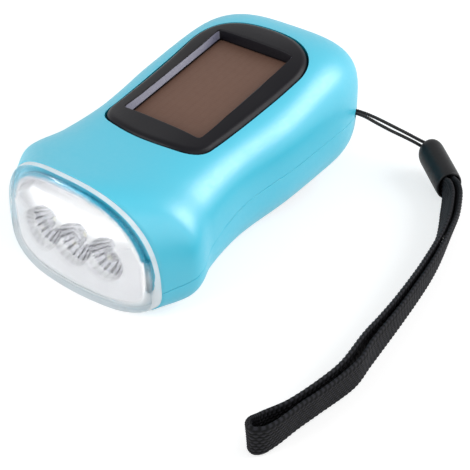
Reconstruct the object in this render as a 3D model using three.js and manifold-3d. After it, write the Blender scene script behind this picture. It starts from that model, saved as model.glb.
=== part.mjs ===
// A pocket flashlight with a hand crank, a solar cell and a wrist strap.
// Millimetres. +Z is up, -Y is the lamp end, and z = 0 is the surface it lies on.
import * as THREE from 'three';
import { mergeVertices } from 'three/addons/utils/BufferGeometryUtils.js';
import Module from 'manifold-3d';

const wasm = await Module();
wasm.setup();

// Body
const BODY_LENGTH = 105;
const BODY_WIDTH = 58.8;
const BODY_HEIGHT = 38.4;
const WALL = 2;
const GAP = 0.3;
const OVERRUN = 1;
const REAR_CENTRE_Z = 17.2;
const FOOT_CUT = 0.4;

// Lamp end
const LENS_DEPTH = 3.3;
const LENS_WALL = 1.3;
const RIM_BOW = 3.9;
const FRONT_LIP = 3.4;
const LIP_THICKNESS = 2;

// Crank, with its axis measured from the rear tip
const CRANK_SETBACK = 37.5;
const DISH_RADIUS = 22;
const DISH_CHAMFER = 1.2;
const HUB_RADIUS = 12.2;
const HUB_THICKNESS = 2.4;
const ARM_WIDTH = 9;
const ARM_THICKNESS = 2.6;
const HINGE_OFFSET = 10.5;
const HINGE_Z = 1.7;
const KNOB_RADIUS = 3.3;

// Gears
const TOOTH_MODULE = 0.7;
const LAYER_GAP = 0.4;
const CRANK_TEETH = 44;
const IDLER_1_TEETH = 33;
const IDLER_2_TEETH = 30;
const PINION_TEETH = 11;
const ROTOR_TEETH = 10;
const IDLER_1_X = 7.5;
const ROTOR_REACH = 36;
const PLATE_THICKNESS = 1;

// Lamps, switch and cells
const LAMP_SPACING = 10.3;
const LAMP_Z = 14.5;
const LAMP_RADIUS = 2.5;
const LAMP_LENGTH = 7.4;
const BUTTON_SETBACK = 23.2;
const BUTTON_RADIUS = 4.3;
const BUTTON_TRAVEL = 0.8;
const CELL_THICKNESS = 3.2;
const BOARD_THICKNESS = 1.2;

// Solar cell
const SOLAR_SETBACK = 49;
const SOLAR_X = 0.9;
const SOLAR_HALF_WIDTH = 11.7;
const SOLAR_HALF_LENGTH = 19.2;
const SOLAR_DEPTH = 2.2;
const SOLAR_TILT = 0.14;
const BEZEL_RISE = 0.6;
const BEZEL_HALF_WIDTH = 17.2;
const BEZEL_FRONT = 28.2;
const BEZEL_REAR = 28.3;

// Strap
const STRING_DIAMETER = 1;
const WEBBING_WIDTH = 10;
const WEBBING_THICKNESS = 1.2;
const FERRULE_HALF_WIDTH = 3.7;
const FERRULE_HALF_HEIGHT = 4.4;

const flashlight = new THREE.Group();

// The surface of the body is a row of rounded sections along its length.
// Each share is of the body's half width or height, from the rim to the tip.
const STATION_SHARES = [0, 0.08, 0.2, 0.36, 0.55, 0.75, 1];
const WIDTH_SHARES = [0.844, 1, 0.905, 0.844, 0.898, 0.891, 0.871];
const TOP_SHARES = [0.914, 0.877, 0.852, 0.86, 0.914, 1, 0.974];
const MIDDLE_SHARES = [0.25, 0.32, 0.35, 0.405, 0.46, 0.47, 0.466];
const PARTING_SHARES = [0.18, 0.245, 0.338, 0.405, 0.432, 0.432, 0.385];
const ROUNDNESS = { front: 2.4, rear: 3.5, lower: 3.35, fullShare: 0.4 };
const CLOSING = {
  side: { startShare: 0.73, rise: 2.47, fall: 2.65 },
  top: { startShare: 0.74, rise: 2.83, fall: 1.85 },
  bottom: { startShare: 0.84, rise: 2.6, fall: 2 },
};
const BOW_SHARE = 0.25;
const HALF_BODY = BODY_LENGTH / 2;
const RIM_Y = LENS_DEPTH - HALF_BODY;
const RIM_HALF_WIDTH = (BODY_WIDTH / 2) * WIDTH_SHARES[0];
const RIM_TOP = BODY_HEIGHT * TOP_SHARES[0];
const CRANK_Y = HALF_BODY - CRANK_SETBACK;
const ROTOR_Y = CRANK_Y - ROTOR_REACH;
const BUTTON_Y = RIM_Y + BUTTON_SETBACK;
const SOLAR_Y = HALF_BODY - SOLAR_SETBACK;
const SECTION_POINTS = 36;

// Reads a table of shares at a place along the body, as one smooth curve.
function alongBody(shares, place) {
  const at = THREE.MathUtils.clamp(place, 0, 1);
  let k = 0;
  while (k < STATION_SHARES.length - 2 && at > STATION_SHARES[k + 1]) {
    k += 1;
  }
  const slope = (i) => {
    const a = Math.max(0, i - 1);
    const b = Math.min(STATION_SHARES.length - 1, i + 1);
    return (shares[b] - shares[a]) / (STATION_SHARES[b] - STATION_SHARES[a]);
  };
  const span = STATION_SHARES[k + 1] - STATION_SHARES[k];
  const t = (at - STATION_SHARES[k]) / span;
  const blend = t * t * (3 - 2 * t);
  const leave = t * (1 - t) * (1 - t) * span;
  const arrive = t * t * (t - 1) * span;
  return shares[k] * (1 - blend) + shares[k + 1] * blend + slope(k) * leave + slope(k + 1) * arrive;
}

// How much of a section is left near the rounded tip, from 1 down to 0.
function closing(rule, place) {
  const t = THREE.MathUtils.clamp((place - rule.startShare) / (1 - rule.startShare), 0, 1);
  return (1 - t ** rule.rise) ** (1 / rule.fall);
}

function signedPower(value, power) {
  return Math.sign(value) * Math.abs(value) ** power;
}

// One point of the body's surface, at a place along it and an angle round it.
// The inset moves it inward by a wall, and a negative inset moves it outward.
function bodyPoint(place, angle, inset) {
  const side = closing(CLOSING.side, place);
  const middle = BODY_HEIGHT * alongBody(MIDDLE_SHARES, place);
  const halfWidth = (BODY_WIDTH / 2) * alongBody(WIDTH_SHARES, place) - inset;
  const up = Math.sin(angle) >= 0;
  const close = closing(up ? CLOSING.top : CLOSING.bottom, place);
  const rise = BODY_HEIGHT * alongBody(TOP_SHARES, place) - middle - inset;
  const drop = middle + FOOT_CUT - inset;
  const share = Math.min(1, place / ROUNDNESS.fullShare);
  const upper = ROUNDNESS.front + (ROUNDNESS.rear - ROUNDNESS.front) * share;
  const power = 2 / (up ? upper : ROUNDNESS.lower);
  const x = halfWidth * side * signedPower(Math.cos(angle), power);
  const centre = middle * close + REAR_CENTRE_Z * (1 - close);
  const z = centre + (up ? rise : drop) * close * signedPower(Math.sin(angle), power);
  const fade = Math.max(0, 1 - place / BOW_SHARE);
  const y = RIM_Y + (HALF_BODY - inset - RIM_Y) * place + rimBow(x) * fade;
  return new THREE.Vector3(x, y, z);
}

// The lamp end's rim bows forward in the middle.
function rimBow(x) {
  return RIM_BOW * (x / RIM_HALF_WIDTH) ** 2;
}

// A closed solid through rings of points, with a fan over each end.
function loft(rings) {
  const positions = [];
  const indices = [];
  const count = rings[0].length;
  rings.forEach((ring) => ring.forEach((p) => positions.push(p.x, p.y, p.z)));
  for (let k = 0; k < rings.length - 1; k += 1) {
    for (let i = 0; i < count; i += 1) {
      const a = k * count + i;
      const b = k * count + ((i + 1) % count);
      indices.push(a, b, a + count, b, b + count, a + count);
    }
  }
  [rings[0], rings[rings.length - 1]].forEach((ring, end) => {
    const centre = ring.reduce((sum, p) => sum.add(p), new THREE.Vector3()).divideScalar(count);
    const apex = positions.length / 3;
    positions.push(centre.x, centre.y, centre.z);
    const first = end * (rings.length - 1) * count;
    for (let i = 0; i < count; i += 1) {
      const a = first + i;
      const b = first + ((i + 1) % count);
      indices.push(apex, end ? a : b, end ? b : a);
    }
  });
  const geometry = new THREE.BufferGeometry();
  geometry.setAttribute('position', new THREE.Float32BufferAttribute(positions, 3));
  geometry.setIndex(indices);
  return geometry;
}

const RING_COUNT = 20;
const RING_CROWDING = 1.7;
const LAST_PLACE = 0.9985;

// The body's whole surface at one inset, from its rim to its tip.
function bodyLoft(inset, points = SECTION_POINTS, ringCount = RING_COUNT) {
  const rings = [];
  for (let k = 0; k < ringCount; k += 1) {
    const place = LAST_PLACE * (1 - (1 - k / (ringCount - 1)) ** RING_CROWDING);
    const ring = [];
    for (let i = 0; i < points; i += 1) {
      ring.push(bodyPoint(place, (2 * Math.PI * i) / points, inset));
    }
    rings.push(ring);
  }
  return loft(rings);
}

// Solids
const MERGE_DISTANCE = 1e-4;

function fromTriangles(positions, corners) {
  const triVerts = Uint32Array.from(corners);
  return new wasm.Manifold(new wasm.Mesh({ numProp: 3, vertProperties: positions, triVerts }));
}

// Joins a geometry's corners into one closed body, and turns it to face outward.
function solid(geometry) {
  const bare = geometry.clone();
  bare.deleteAttribute('normal');
  bare.deleteAttribute('uv');
  const merged = mergeVertices(bare, MERGE_DISTANCE);
  const source = merged.index.array;
  const kept = [];
  for (let i = 0; i < source.length; i += 3) {
    const [a, b, c] = [source[i], source[i + 1], source[i + 2]];
    if (a !== b && b !== c && a !== c) {
      kept.push(a, b, c);
    }
  }
  const positions = Float32Array.from(merged.attributes.position.array);
  const body = fromTriangles(positions, kept);
  return body.volume() < 0 ? fromTriangles(positions, kept.reverse()) : body;
}

function geometryOf(body) {
  const mesh = body.getMesh();
  const geometry = new THREE.BufferGeometry();
  geometry.setAttribute('position', new THREE.Float32BufferAttribute(mesh.vertProperties, 3));
  geometry.setIndex(Array.from(mesh.triVerts));
  return geometry;
}

function cut(body, ...cutters) {
  return cutters.reduce((left, cutter) => left.subtract(cutter), body);
}

function join(...bodies) {
  return bodies.reduce((all, body) => all.add(body));
}

function box(x0, x1, y0, y1, z0, z1) {
  const shape = new THREE.BoxGeometry(x1 - x0, y1 - y0, z1 - z0);
  return solid(shape.translate((x0 + x1) / 2, (y0 + y1) / 2, (z0 + z1) / 2));
}

function post(x, y, z0, z1, radius, sides = 20) {
  const shape = new THREE.CylinderGeometry(radius, radius, z1 - z0, sides);
  return solid(shape.rotateX(Math.PI / 2).translate(x, y, (z0 + z1) / 2));
}

// A round bar along X or Y, for pins and cells that lie down.
function barAlongX(x0, x1, y, z, radius, sides = 20) {
  const shape = new THREE.CylinderGeometry(radius, radius, x1 - x0, sides);
  return solid(shape.rotateZ(Math.PI / 2).translate((x0 + x1) / 2, y, z));
}

function barAlongY(x, y0, y1, z, radius, sides = 28) {
  const shape = new THREE.CylinderGeometry(radius, radius, y1 - y0, sides);
  return solid(shape.translate(x, (y0 + y1) / 2, z));
}

// A turned piece on the Z axis, from pairs of radius and height.
function turned(x, y, profile, sides = 24) {
  const points = profile.map(([radius, height]) => new THREE.Vector2(radius, height));
  const shape = new THREE.LatheGeometry(points, sides);
  return solid(shape.rotateX(Math.PI / 2).translate(x, y, 0));
}

function prism(shape, z0, z1, curveSegments = 12) {
  const depth = z1 - z0;
  const body = new THREE.ExtrudeGeometry(shape, { depth, bevelEnabled: false, curveSegments });
  return solid(body.translate(0, 0, z0));
}

// A tube that follows a list of points.
function tube(points, radius, sides, steps) {
  const section = new THREE.Shape();
  for (let i = 0; i < sides; i += 1) {
    const angle = (2 * Math.PI * i) / sides;
    const x = radius * Math.cos(angle);
    const y = radius * Math.sin(angle);
    if (i === 0) {
      section.moveTo(x, y);
    } else {
      section.lineTo(x, y);
    }
  }
  const path = new THREE.CatmullRomCurve3(points.map((p) => new THREE.Vector3(...p)));
  return solid(new THREE.ExtrudeGeometry(section, { steps, extrudePath: path, curveSegments: 1 }));
}

const SMOOTHING = 0.05;

function add(name, body, color, roughness, metalness) {
  const material = new THREE.MeshStandardMaterial({ color, roughness, metalness });
  const mesh = new THREE.Mesh(geometryOf(body.simplify(SMOOTHING)), material);
  mesh.name = name;
  flashlight.add(mesh);
}

const BLUE = '#6cd2ea';
const BLACK = '#2b2a2d';
const STEEL = '#a9adb0';
const WHITE_PLASTIC = '#dfe1e2';
const BRASS = '#b79a55';
const GREEN_BOARD = '#2d6b45';
const COPPER = '#b5693a';

// The height of the body's roof, and of a plane of the tilted solar well, over a place along it
const WELL_LIFT = 0.3;
const CELL_THIN = 2.2;
const TRAY_THICKNESS = 1.2;
const WELL_FLOOR = -SOLAR_DEPTH - CELL_THIN - GAP;

function roofHeight(y) {
  return bodyPoint((y - RIM_Y) / (HALF_BODY - RIM_Y), Math.PI / 2, 0).z;
}

const crownHeight = roofHeight(SOLAR_Y);

function wellHeight(level, y) {
  return crownHeight + WELL_LIFT + (y - SOLAR_Y) * SOLAR_TILT + level * Math.hypot(1, SOLAR_TILT);
}

// Gearbox plates: the pillars between them and their outline's reach past the two axes
const PLATE = { halfWidth: 20, pastCrank: 18, behindRotor: 2, noseReach: 2.5, noseHalf: 8, slope: 8 };
const PLATE_REAR = CRANK_Y + PLATE.pastCrank;
const PLATE_FRONT = ROTOR_Y + PLATE.behindRotor;
const PLATE_NOSE = ROTOR_Y - PLATE.noseReach;

// The knob and the three gear layers share the room under the tray.
const STACK_CLEARANCE = 0.43;
const KNOB_SHARE = 0.5;
const GEAR_LAYERS = 3;
const stackParts = 2 * HINGE_Z + ARM_THICKNESS + WALL + 4 * GAP + 2 * PLATE_THICKNESS + (GEAR_LAYERS + 1) * LAYER_GAP;
const stackRoom = wellHeight(WELL_FLOOR - TRAY_THICKNESS, PLATE_NOSE) - STACK_CLEARANCE - stackParts;
const KNOB_HEIGHT = stackRoom * KNOB_SHARE;
const GEAR_THICKNESS = (stackRoom * (1 - KNOB_SHARE)) / GEAR_LAYERS;

// Heights of the crank and the gear stack, from the hinge upward
const ARM_BOTTOM = 2 * HINGE_Z + GAP;
const ARM_TOP = ARM_BOTTOM + ARM_THICKNESS;
const HUB_BOTTOM = ARM_TOP + GAP;
const HUB_TOP = HUB_BOTTOM + HUB_THICKNESS;
const DISH_CEILING = HUB_TOP + GAP;
const KNOB_BOTTOM = ARM_TOP + GAP;
const KNOB_TOP = KNOB_BOTTOM + KNOB_HEIGHT;
const GROOVE_CEILING = KNOB_TOP + GAP;
const DISH_TOP = GROOVE_CEILING + WALL;
const BASE_BOTTOM = DISH_TOP + GAP;
const BASE_TOP = BASE_BOTTOM + PLATE_THICKNESS;
const LAYER_A = BASE_TOP + LAYER_GAP;
const LAYER_B = LAYER_A + GEAR_THICKNESS + LAYER_GAP;
const LAYER_C = LAYER_B + GEAR_THICKNESS + LAYER_GAP;
const COVER_BOTTOM = LAYER_C + GEAR_THICKNESS + LAYER_GAP;
const COVER_TOP = COVER_BOTTOM + PLATE_THICKNESS;

// Crank centre distances
const HUB_GAP_RADIUS = HUB_RADIUS + GAP;
const KNOB_OFFSET = HUB_GAP_RADIUS + KNOB_RADIUS + GAP;
const KNOB_Y = CRANK_Y + KNOB_OFFSET;
const HINGE_Y = CRANK_Y - HINGE_OFFSET;
const HUB_BOSS_RADIUS = 3.6;
const BOSS_CLEARANCE = 0.35;

// Control board and button heights
const BUTTON_RECESS = 0.8;
const BUTTON_CAP = 1;
const FLANGE_RIM = 0.9;
const FLANGE_THICKNESS = 0.8;
const BUTTON_FLOOR = BUTTON_RECESS + BUTTON_CAP - GAP;
const FLANGE_BOTTOM = BUTTON_RECESS + BUTTON_CAP;
const FLANGE_TOP = FLANGE_BOTTOM + FLANGE_THICKNESS;
const SWITCH_BOTTOM = FLANGE_TOP + BUTTON_TRAVEL + GAP;
const SWITCH_HEIGHT = 2.6;
const SWITCH_HALF = 3;
const BOARD_BOTTOM = SWITCH_BOTTOM + SWITCH_HEIGHT + GAP;
const BOARD_TOP = BOARD_BOTTOM + BOARD_THICKNESS;
const BOARD_HALF_WIDTH = 16;
const BOARD_SETBACK = 7.2;
const BOARD_PAST_ROTOR = 12;
const BOARD_FRONT = RIM_Y + BOARD_SETBACK;
const BOARD_REAR = ROTOR_Y + BOARD_PAST_ROTOR;
const STANDOFF_RADIUS = 2.2;
const STANDOFF_INSET = 2.8;

// Generator
const STATOR_BOTTOM = BOARD_TOP + GAP;
const STATOR_HEAD_ROOM = 1.3;
const STATOR_RADIUS = 10.5;
const STATOR_WALL = 1;
const ROTOR_RADIUS = 5.6;
const ROTOR_SHAFT_RADIUS = 0.75;

// The strap's anchor post and slot at the rear corner
const ANCHOR = { inset: 10.7, setback: 13.3, z: 15.9, radius: 1, foot: 1.2, footTop: 11.5, rise: 2.4 };
const ANCHOR_X = BODY_WIDTH / 2 - ANCHOR.inset;
const ANCHOR_Y = HALF_BODY - ANCHOR.setback;
const STRAP_AXIS = { x: 0.935, y: 0.355 };
const SLOT = { length: 7.6, width: 4.6, height: 2.8, forward: 5.4 };

// The parting face follows the fine line along the side.
function partingPrism(lift, up) {
  const outline = new THREE.Shape();
  const far = up ? BODY_HEIGHT + BODY_WIDTH : -BODY_WIDTH;
  const steps = 24;
  outline.moveTo(-HALF_BODY - BODY_HEIGHT, far);
  for (let k = 0; k <= steps; k += 1) {
    const place = k / steps;
    const y = k === 0 ? -HALF_BODY - BODY_HEIGHT : RIM_Y + (HALF_BODY - RIM_Y) * place;
    outline.lineTo(y, BODY_HEIGHT * alongBody(PARTING_SHARES, place) + lift);
  }
  outline.lineTo(HALF_BODY + BODY_HEIGHT, BODY_HEIGHT * PARTING_SHARES[PARTING_SHARES.length - 1] + lift);
  outline.lineTo(HALF_BODY + BODY_HEIGHT, far);
  const slab = new THREE.ExtrudeGeometry(outline, { depth: 2 * BODY_WIDTH, bevelEnabled: false });
  slab.rotateX(Math.PI / 2).rotateZ(Math.PI / 2).translate(-BODY_WIDTH, 0, 0);
  return solid(slab);
}

// The lamp opening is a tunnel through the rim, narrower than the cavity.
function rimTunnel(inset, y0, y1) {
  const rings = [y0, y1].map((y) => {
    const ring = [];
    for (let i = 0; i < SECTION_POINTS; i += 1) {
      const p = bodyPoint(0, (2 * Math.PI * i) / SECTION_POINTS, inset);
      ring.push(new THREE.Vector3(p.x, y + rimBow(p.x), p.z));
    }
    return ring;
  });
  return solid(loft(rings));
}

const bodySolid = solid(bodyLoft(0)).subtract(
  box(-BODY_WIDTH, BODY_WIDTH, -BODY_LENGTH, BODY_LENGTH, -BODY_HEIGHT, 0),
);
const INNER_POINTS = 24;
const INNER_RINGS = 12;
const cavity = solid(bodyLoft(WALL, INNER_POINTS, INNER_RINGS));
const LIP_CLEAR = rimBow(RIM_HALF_WIDTH - WALL) + LIP_THICKNESS;
const lipZone = box(-BODY_WIDTH, BODY_WIDTH, -BODY_LENGTH, RIM_Y + LIP_CLEAR, -BODY_HEIGHT, 2 * BODY_HEIGHT);
const lipTunnel = rimTunnel(FRONT_LIP, RIM_Y - LENS_DEPTH, RIM_Y + LIP_CLEAR + OVERRUN);
const hollow = cut(cavity, lipZone).add(lipTunnel);

// Solar well: a tilted pocket in the crown, with the frame, the cell and a tray under it
const BEZEL_FLARE = 0.8;
const SIDE_BULGE = 0.5;
const FRONT_CORNER = 5;
const REAR_CORNER = 10;
const FRONT_SAG = 3.4;
const REAR_SAG = 4.4;

// Moves a solid from the well's own flat frame to its tilted place.
function inWell(body) {
  const tilted = geometryOf(body).rotateX(Math.atan(SOLAR_TILT));
  return solid(tilted.translate(SOLAR_X, SOLAR_Y, crownHeight + WELL_LIFT));
}

// The frame's outline: bowed front, wider and rounder rear, nearly straight sides.
function bezelOutline(grow) {
  const w = BEZEL_HALF_WIDTH - BEZEL_FLARE + grow;
  const v = BEZEL_HALF_WIDTH + BEZEL_FLARE + grow;
  const middle = (w + v) / 2 + SIDE_BULGE;
  const front = -BEZEL_FRONT - grow;
  const rear = BEZEL_REAR + grow;
  const outline = new THREE.Shape();
  outline.moveTo(-w, front + FRONT_SAG + FRONT_CORNER);
  outline.quadraticCurveTo(-w, front + FRONT_SAG, FRONT_CORNER - w, front + FRONT_SAG / 2);
  outline.quadraticCurveTo(0, front - FRONT_SAG / 2, w - FRONT_CORNER, front + FRONT_SAG / 2);
  outline.quadraticCurveTo(w, front + FRONT_SAG, w, front + FRONT_SAG + FRONT_CORNER);
  outline.quadraticCurveTo(middle, 0, v, rear - REAR_SAG - REAR_CORNER);
  outline.quadraticCurveTo(v, rear - REAR_SAG, v - REAR_CORNER, rear - REAR_SAG / 4);
  outline.quadraticCurveTo(0, rear + REAR_SAG / 4, REAR_CORNER - v, rear - REAR_SAG / 4);
  outline.quadraticCurveTo(-v, rear - REAR_SAG, -v, rear - REAR_SAG - REAR_CORNER);
  outline.quadraticCurveTo(-middle, 0, -w, front + FRONT_SAG + FRONT_CORNER);
  return outline;
}

const WELL_SEGMENTS = 6;
const WELL_TOP = BODY_HEIGHT / 4;
const wellCut = inWell(prism(bezelOutline(GAP), WELL_FLOOR, WELL_TOP, WELL_SEGMENTS));
const trayBlock = inWell(prism(bezelOutline(WALL), WELL_FLOOR - TRAY_THICKNESS, WELL_TOP, WELL_SEGMENTS));
const tray = trayBlock.intersect(bodySolid);

// Shell screws: a lower boss with a sunk head, and an upper post that takes the thread
const SCREW = { head: 2.1, headTop: 4.6, headHeight: 1.6, shank: 1, tip: 22, boss: 3.6, fit: 0.15 };
const FRONT_SCREW = { x: 20.6, setback: 15.2 };
const REAR_SCREW = { inset: 15.4, setback: 9.5 };
const REAR_SCREW_X = BODY_WIDTH / 2 - REAR_SCREW.inset;
const SCREW_PLACES = [
  [-FRONT_SCREW.x, RIM_Y + FRONT_SCREW.setback],
  [FRONT_SCREW.x, RIM_Y + FRONT_SCREW.setback],
  [-REAR_SCREW_X, HALF_BODY - REAR_SCREW.setback],
  [REAR_SCREW_X, HALF_BODY - REAR_SCREW.setback],
];
const SCREW_SIDES = 12;

function lowerBoss([x, y]) {
  return post(x, y, WALL / 2, BODY_HEIGHT, SCREW.boss, SCREW_SIDES);
}

function screwHole([x, y]) {
  const pocket = post(x, y, -OVERRUN, SCREW.headTop + GAP, SCREW.head + GAP, SCREW_SIDES);
  const clear = SCREW.shank + SCREW.fit;
  return pocket.add(post(x, y, 0, SCREW.tip + GAP, clear, SCREW_SIDES));
}

function screw([x, y]) {
  const bottom = SCREW.headTop - SCREW.headHeight;
  const slot = box(x - SCREW.head, x + SCREW.head, y - GAP, y + GAP, bottom - GAP, bottom + 2 * GAP);
  const head = post(x, y, bottom, SCREW.headTop, SCREW.head, SCREW_SIDES);
  return head.add(post(x, y, bottom, SCREW.tip, SCREW.shank, SCREW_SIDES)).subtract(slot);
}

// The slot for the strap's cord runs inward from the rear corner to the anchor post.
function strapSlot() {
  const shape = new THREE.BoxGeometry(SLOT.length, SLOT.width, SLOT.height);
  shape.rotateZ(Math.atan2(STRAP_AXIS.y, STRAP_AXIS.x));
  const x = ANCHOR_X + STRAP_AXIS.x * SLOT.forward;
  const y = ANCHOR_Y + STRAP_AXIS.y * SLOT.forward;
  return solid(shape.translate(x, y, ANCHOR.z));
}

const DISH_SIDES = 32;

function dishCut() {
  const bore = HUB_BOSS_RADIUS + BOSS_CLEARANCE;
  return turned(0, CRANK_Y, [
    [0, -OVERRUN],
    [DISH_RADIUS + DISH_CHAMFER, -OVERRUN],
    [DISH_RADIUS + DISH_CHAMFER, 0],
    [DISH_RADIUS, DISH_CHAMFER],
    [DISH_RADIUS, GROOVE_CEILING],
    [HUB_GAP_RADIUS, GROOVE_CEILING],
    [HUB_GAP_RADIUS, DISH_CEILING],
    [bore, DISH_CEILING],
    [bore, DISH_TOP + OVERRUN],
    [0, DISH_TOP + OVERRUN],
  ], DISH_SIDES);
}

// The dish's thick middle is hollowed from above, round the hub's bearing tube.
function bearingRelief() {
  const inner = HUB_BOSS_RADIUS + BOSS_CLEARANCE + WALL;
  const outer = HUB_GAP_RADIUS - WALL;
  return turned(0, CRANK_Y, [
    [inner, DISH_CEILING + WALL],
    [outer, DISH_CEILING + WALL],
    [outer, DISH_TOP + OVERRUN],
    [inner, DISH_TOP + OVERRUN],
    [inner, DISH_CEILING + WALL],
  ]);
}

function boardPlaces() {
  const x = BOARD_HALF_WIDTH - STANDOFF_INSET;
  const rows = [BOARD_FRONT + STANDOFF_INSET, BOARD_REAR - STANDOFF_INSET];
  return rows.flatMap((y) => [[-x, y], [x, y]]);
}

function lowerShell() {
  const dish = post(0, CRANK_Y, 0, DISH_TOP, DISH_RADIUS + WALL, DISH_SIDES);
  const extras = [
    dish,
    ...SCREW_PLACES.map(lowerBoss),
    ...boardPlaces().map(([x, y]) => post(x, y, WALL / 2, BOARD_BOTTOM - GAP, STANDOFF_RADIUS, SCREW_SIDES)),
  ];
  const filled = join(cut(bodySolid, hollow), ...extras.map((piece) => piece.intersect(bodySolid)));
  const below = filled.intersect(partingPrism(-GAP / 2, false));
  const anchorTop = ANCHOR.z + ANCHOR.rise;
  const anchor = join(
    post(ANCHOR_X, ANCHOR_Y, WALL / 2, ANCHOR.footTop, ANCHOR.radius + ANCHOR.foot, SCREW_SIDES),
    post(ANCHOR_X, ANCHOR_Y, WALL, anchorTop, ANCHOR.radius, SCREW_SIDES),
  );
  const buttonHole = post(0, BUTTON_Y, -OVERRUN, WALL + OVERRUN, BUTTON_RADIUS + GAP);
  const flangeWell = BUTTON_RADIUS + FLANGE_RIM + GAP;
  const buttonWell = post(0, BUTTON_Y, BUTTON_FLOOR, WALL + OVERRUN, flangeWell);
  const holes = [dishCut(), bearingRelief(), buttonHole, buttonWell, ...SCREW_PLACES.map(screwHole)];
  return cut(below, ...holes).add(anchor.intersect(bodySolid)).subtract(strapSlot());
}

// Two wires leave the cell through holes in the tray's floor.
const WIRE_RADIUS = 0.5;
const WIRE_X = 13.4;
const WIRE_PITCH = 2;
const WIRE_BEHIND_ROTOR = 1;
const WIRE_Y = ROTOR_Y + WIRE_BEHIND_ROTOR;

function upperShell() {
  const posts = SCREW_PLACES.map(([x, y]) => post(x, y, WALL, BODY_HEIGHT, SCREW.boss - SCREW.shank / 2, SCREW_SIDES));
  const filled = join(cut(bodySolid, hollow), tray, ...posts.map((piece) => piece.intersect(bodySolid)));
  const above = filled.intersect(partingPrism(GAP / 2, true));
  const wireHoles = [0, 1].map((k) => {
    const x = WIRE_X + k * WIRE_PITCH;
    return post(x, WIRE_Y, LAYER_C, BODY_HEIGHT - SOLAR_DEPTH, WIRE_RADIUS + GAP, 12);
  });
  return cut(above, wellCut, strapSlot(), ...wireHoles, ...SCREW_PLACES.map(screwHole));
}

add('upper_shell', upperShell(), BLUE, 0.42, 0);
add('lower_shell', lowerShell(), BLUE, 0.42, 0);
SCREW_PLACES.forEach((place, k) => add(`shell_screw_${k + 1}`, screw(place), STEEL, 0.3, 0.9));

// Lens: a shallow domed cap, each ring a share of the rim's size and of its depth
const LENS_SHARES = [
  [0.988, 0.09], [0.98, 0.36], [0.96, 0.67], [0.915, 0.83], [0.79, 0.9], [0.55, 0.96], [0.25, 1],
];

function lensLoft(inset, depth, start) {
  const centreZ = (RIM_TOP + bodyPoint(0, -Math.PI / 2, 0).z) / 2;
  const rings = LENS_SHARES.map(([size, forward], k) => {
    const ring = [];
    for (let i = 0; i < SECTION_POINTS; i += 1) {
      const p = bodyPoint(0, (-2 * Math.PI * i) / SECTION_POINTS, inset);
      const x = p.x * size;
      const z = Math.max(centreZ + (p.z - centreZ) * size, inset);
      ring.push(new THREE.Vector3(x, RIM_Y + rimBow(x) - (k === 0 ? start : depth * forward), z));
    }
    return ring;
  });
  return solid(loft(rings.reverse()));
}

const lensInside = lensLoft(LENS_WALL, LENS_DEPTH - LENS_WALL, -OVERRUN);
add('front_lens', lensLoft(0, LENS_DEPTH, GAP).subtract(lensInside), '#eef2f5', 0.05, 0);

// Reflector: a plate with one wide bowl above and three round pockets
const REFLECTOR_FORWARD = 1.5;
const REFLECTOR_LENGTH = 6.2;
const REFLECTOR_BACK = RIM_Y + REFLECTOR_LENGTH;
const BOWL = { halfWidth: 20, depth: 6.5, halfHeight: 6.8, drop: 11.1 };
const POCKET = { mouth: 5.7, throat: 2.8, depth: 6.4, flare: 4.6 };
const BOSS_RADIUS = 1.8;
const BOSS_X = 15.6;
const LAMP_SETBACK = 2.2;
const LAMP_BACK = REFLECTOR_BACK + LAMP_SETBACK;
const LAMP_BOARD_FRONT = LAMP_BACK + GAP;
const LAMP_BOARD_HALF = 17.6;
const LAMP_PLACES = [-LAMP_SPACING, 0, LAMP_SPACING];

function turnedAlongY(x, z, profile, sides = 20) {
  const points = profile.map(([radius, y]) => new THREE.Vector2(radius, y));
  return solid(new THREE.LatheGeometry(points, sides).translate(x, 0, z));
}

// Its flange fills the lens in front of the lip: pairs of inset and place ahead of the rim.
const FLANGE = { clearance: 1.1, shoulder: 0.8, round: 1.6, chamfer: 0.1, drop: 0.5 };
const FLANGE_EDGE = LENS_WALL + FLANGE.clearance;
const FLANGE_STEPS = [
  [FLANGE_EDGE + FLANGE.round, REFLECTOR_FORWARD],
  [FLANGE_EDGE + FLANGE.shoulder, REFLECTOR_FORWARD - FLANGE.chamfer],
  [FLANGE_EDGE, REFLECTOR_FORWARD - FLANGE.drop],
  [FLANGE_EDGE, GAP],
  [FRONT_LIP + GAP, GAP],
];

function reflectorBlock() {
  const rings = [...FLANGE_STEPS, [FRONT_LIP + GAP, null]].map(([inset, forward]) => {
    const ring = [];
    for (let i = 0; i < SECTION_POINTS; i += 1) {
      const p = bodyPoint(0, (2 * Math.PI * i) / SECTION_POINTS, inset);
      ring.push(new THREE.Vector3(p.x, forward === null ? REFLECTOR_BACK : RIM_Y - forward + rimBow(p.x), p.z));
    }
    return ring;
  });
  return solid(loft(rings));
}

function reflector() {
  const front = RIM_Y - REFLECTOR_FORWARD;
  const bowl = new THREE.SphereGeometry(1, 20, 10);
  bowl.scale(BOWL.halfWidth, BOWL.depth, BOWL.halfHeight).translate(0, front, RIM_TOP - BOWL.drop);
  const pockets = LAMP_PLACES.map((x) => turnedAlongY(x, LAMP_Z, [
    [0, front - OVERRUN],
    [POCKET.mouth, front - OVERRUN],
    [POCKET.mouth, front + rimBow(x)],
    [POCKET.flare, front + POCKET.depth / 2],
    [POCKET.throat, front + POCKET.depth],
    [POCKET.throat, REFLECTOR_BACK + OVERRUN],
    [0, REFLECTOR_BACK + OVERRUN],
  ]));
  const bosses = [-BOSS_X, BOSS_X].map((x) => (
    barAlongY(x, REFLECTOR_BACK - OVERRUN, LAMP_BOARD_FRONT - GAP, LAMP_Z, BOSS_RADIUS, 12)));
  return cut(reflectorBlock(), solid(bowl), ...pockets).add(join(...bosses));
}

add('reflector', reflector(), '#d9dadd', 0.2, 0.6);

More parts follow.
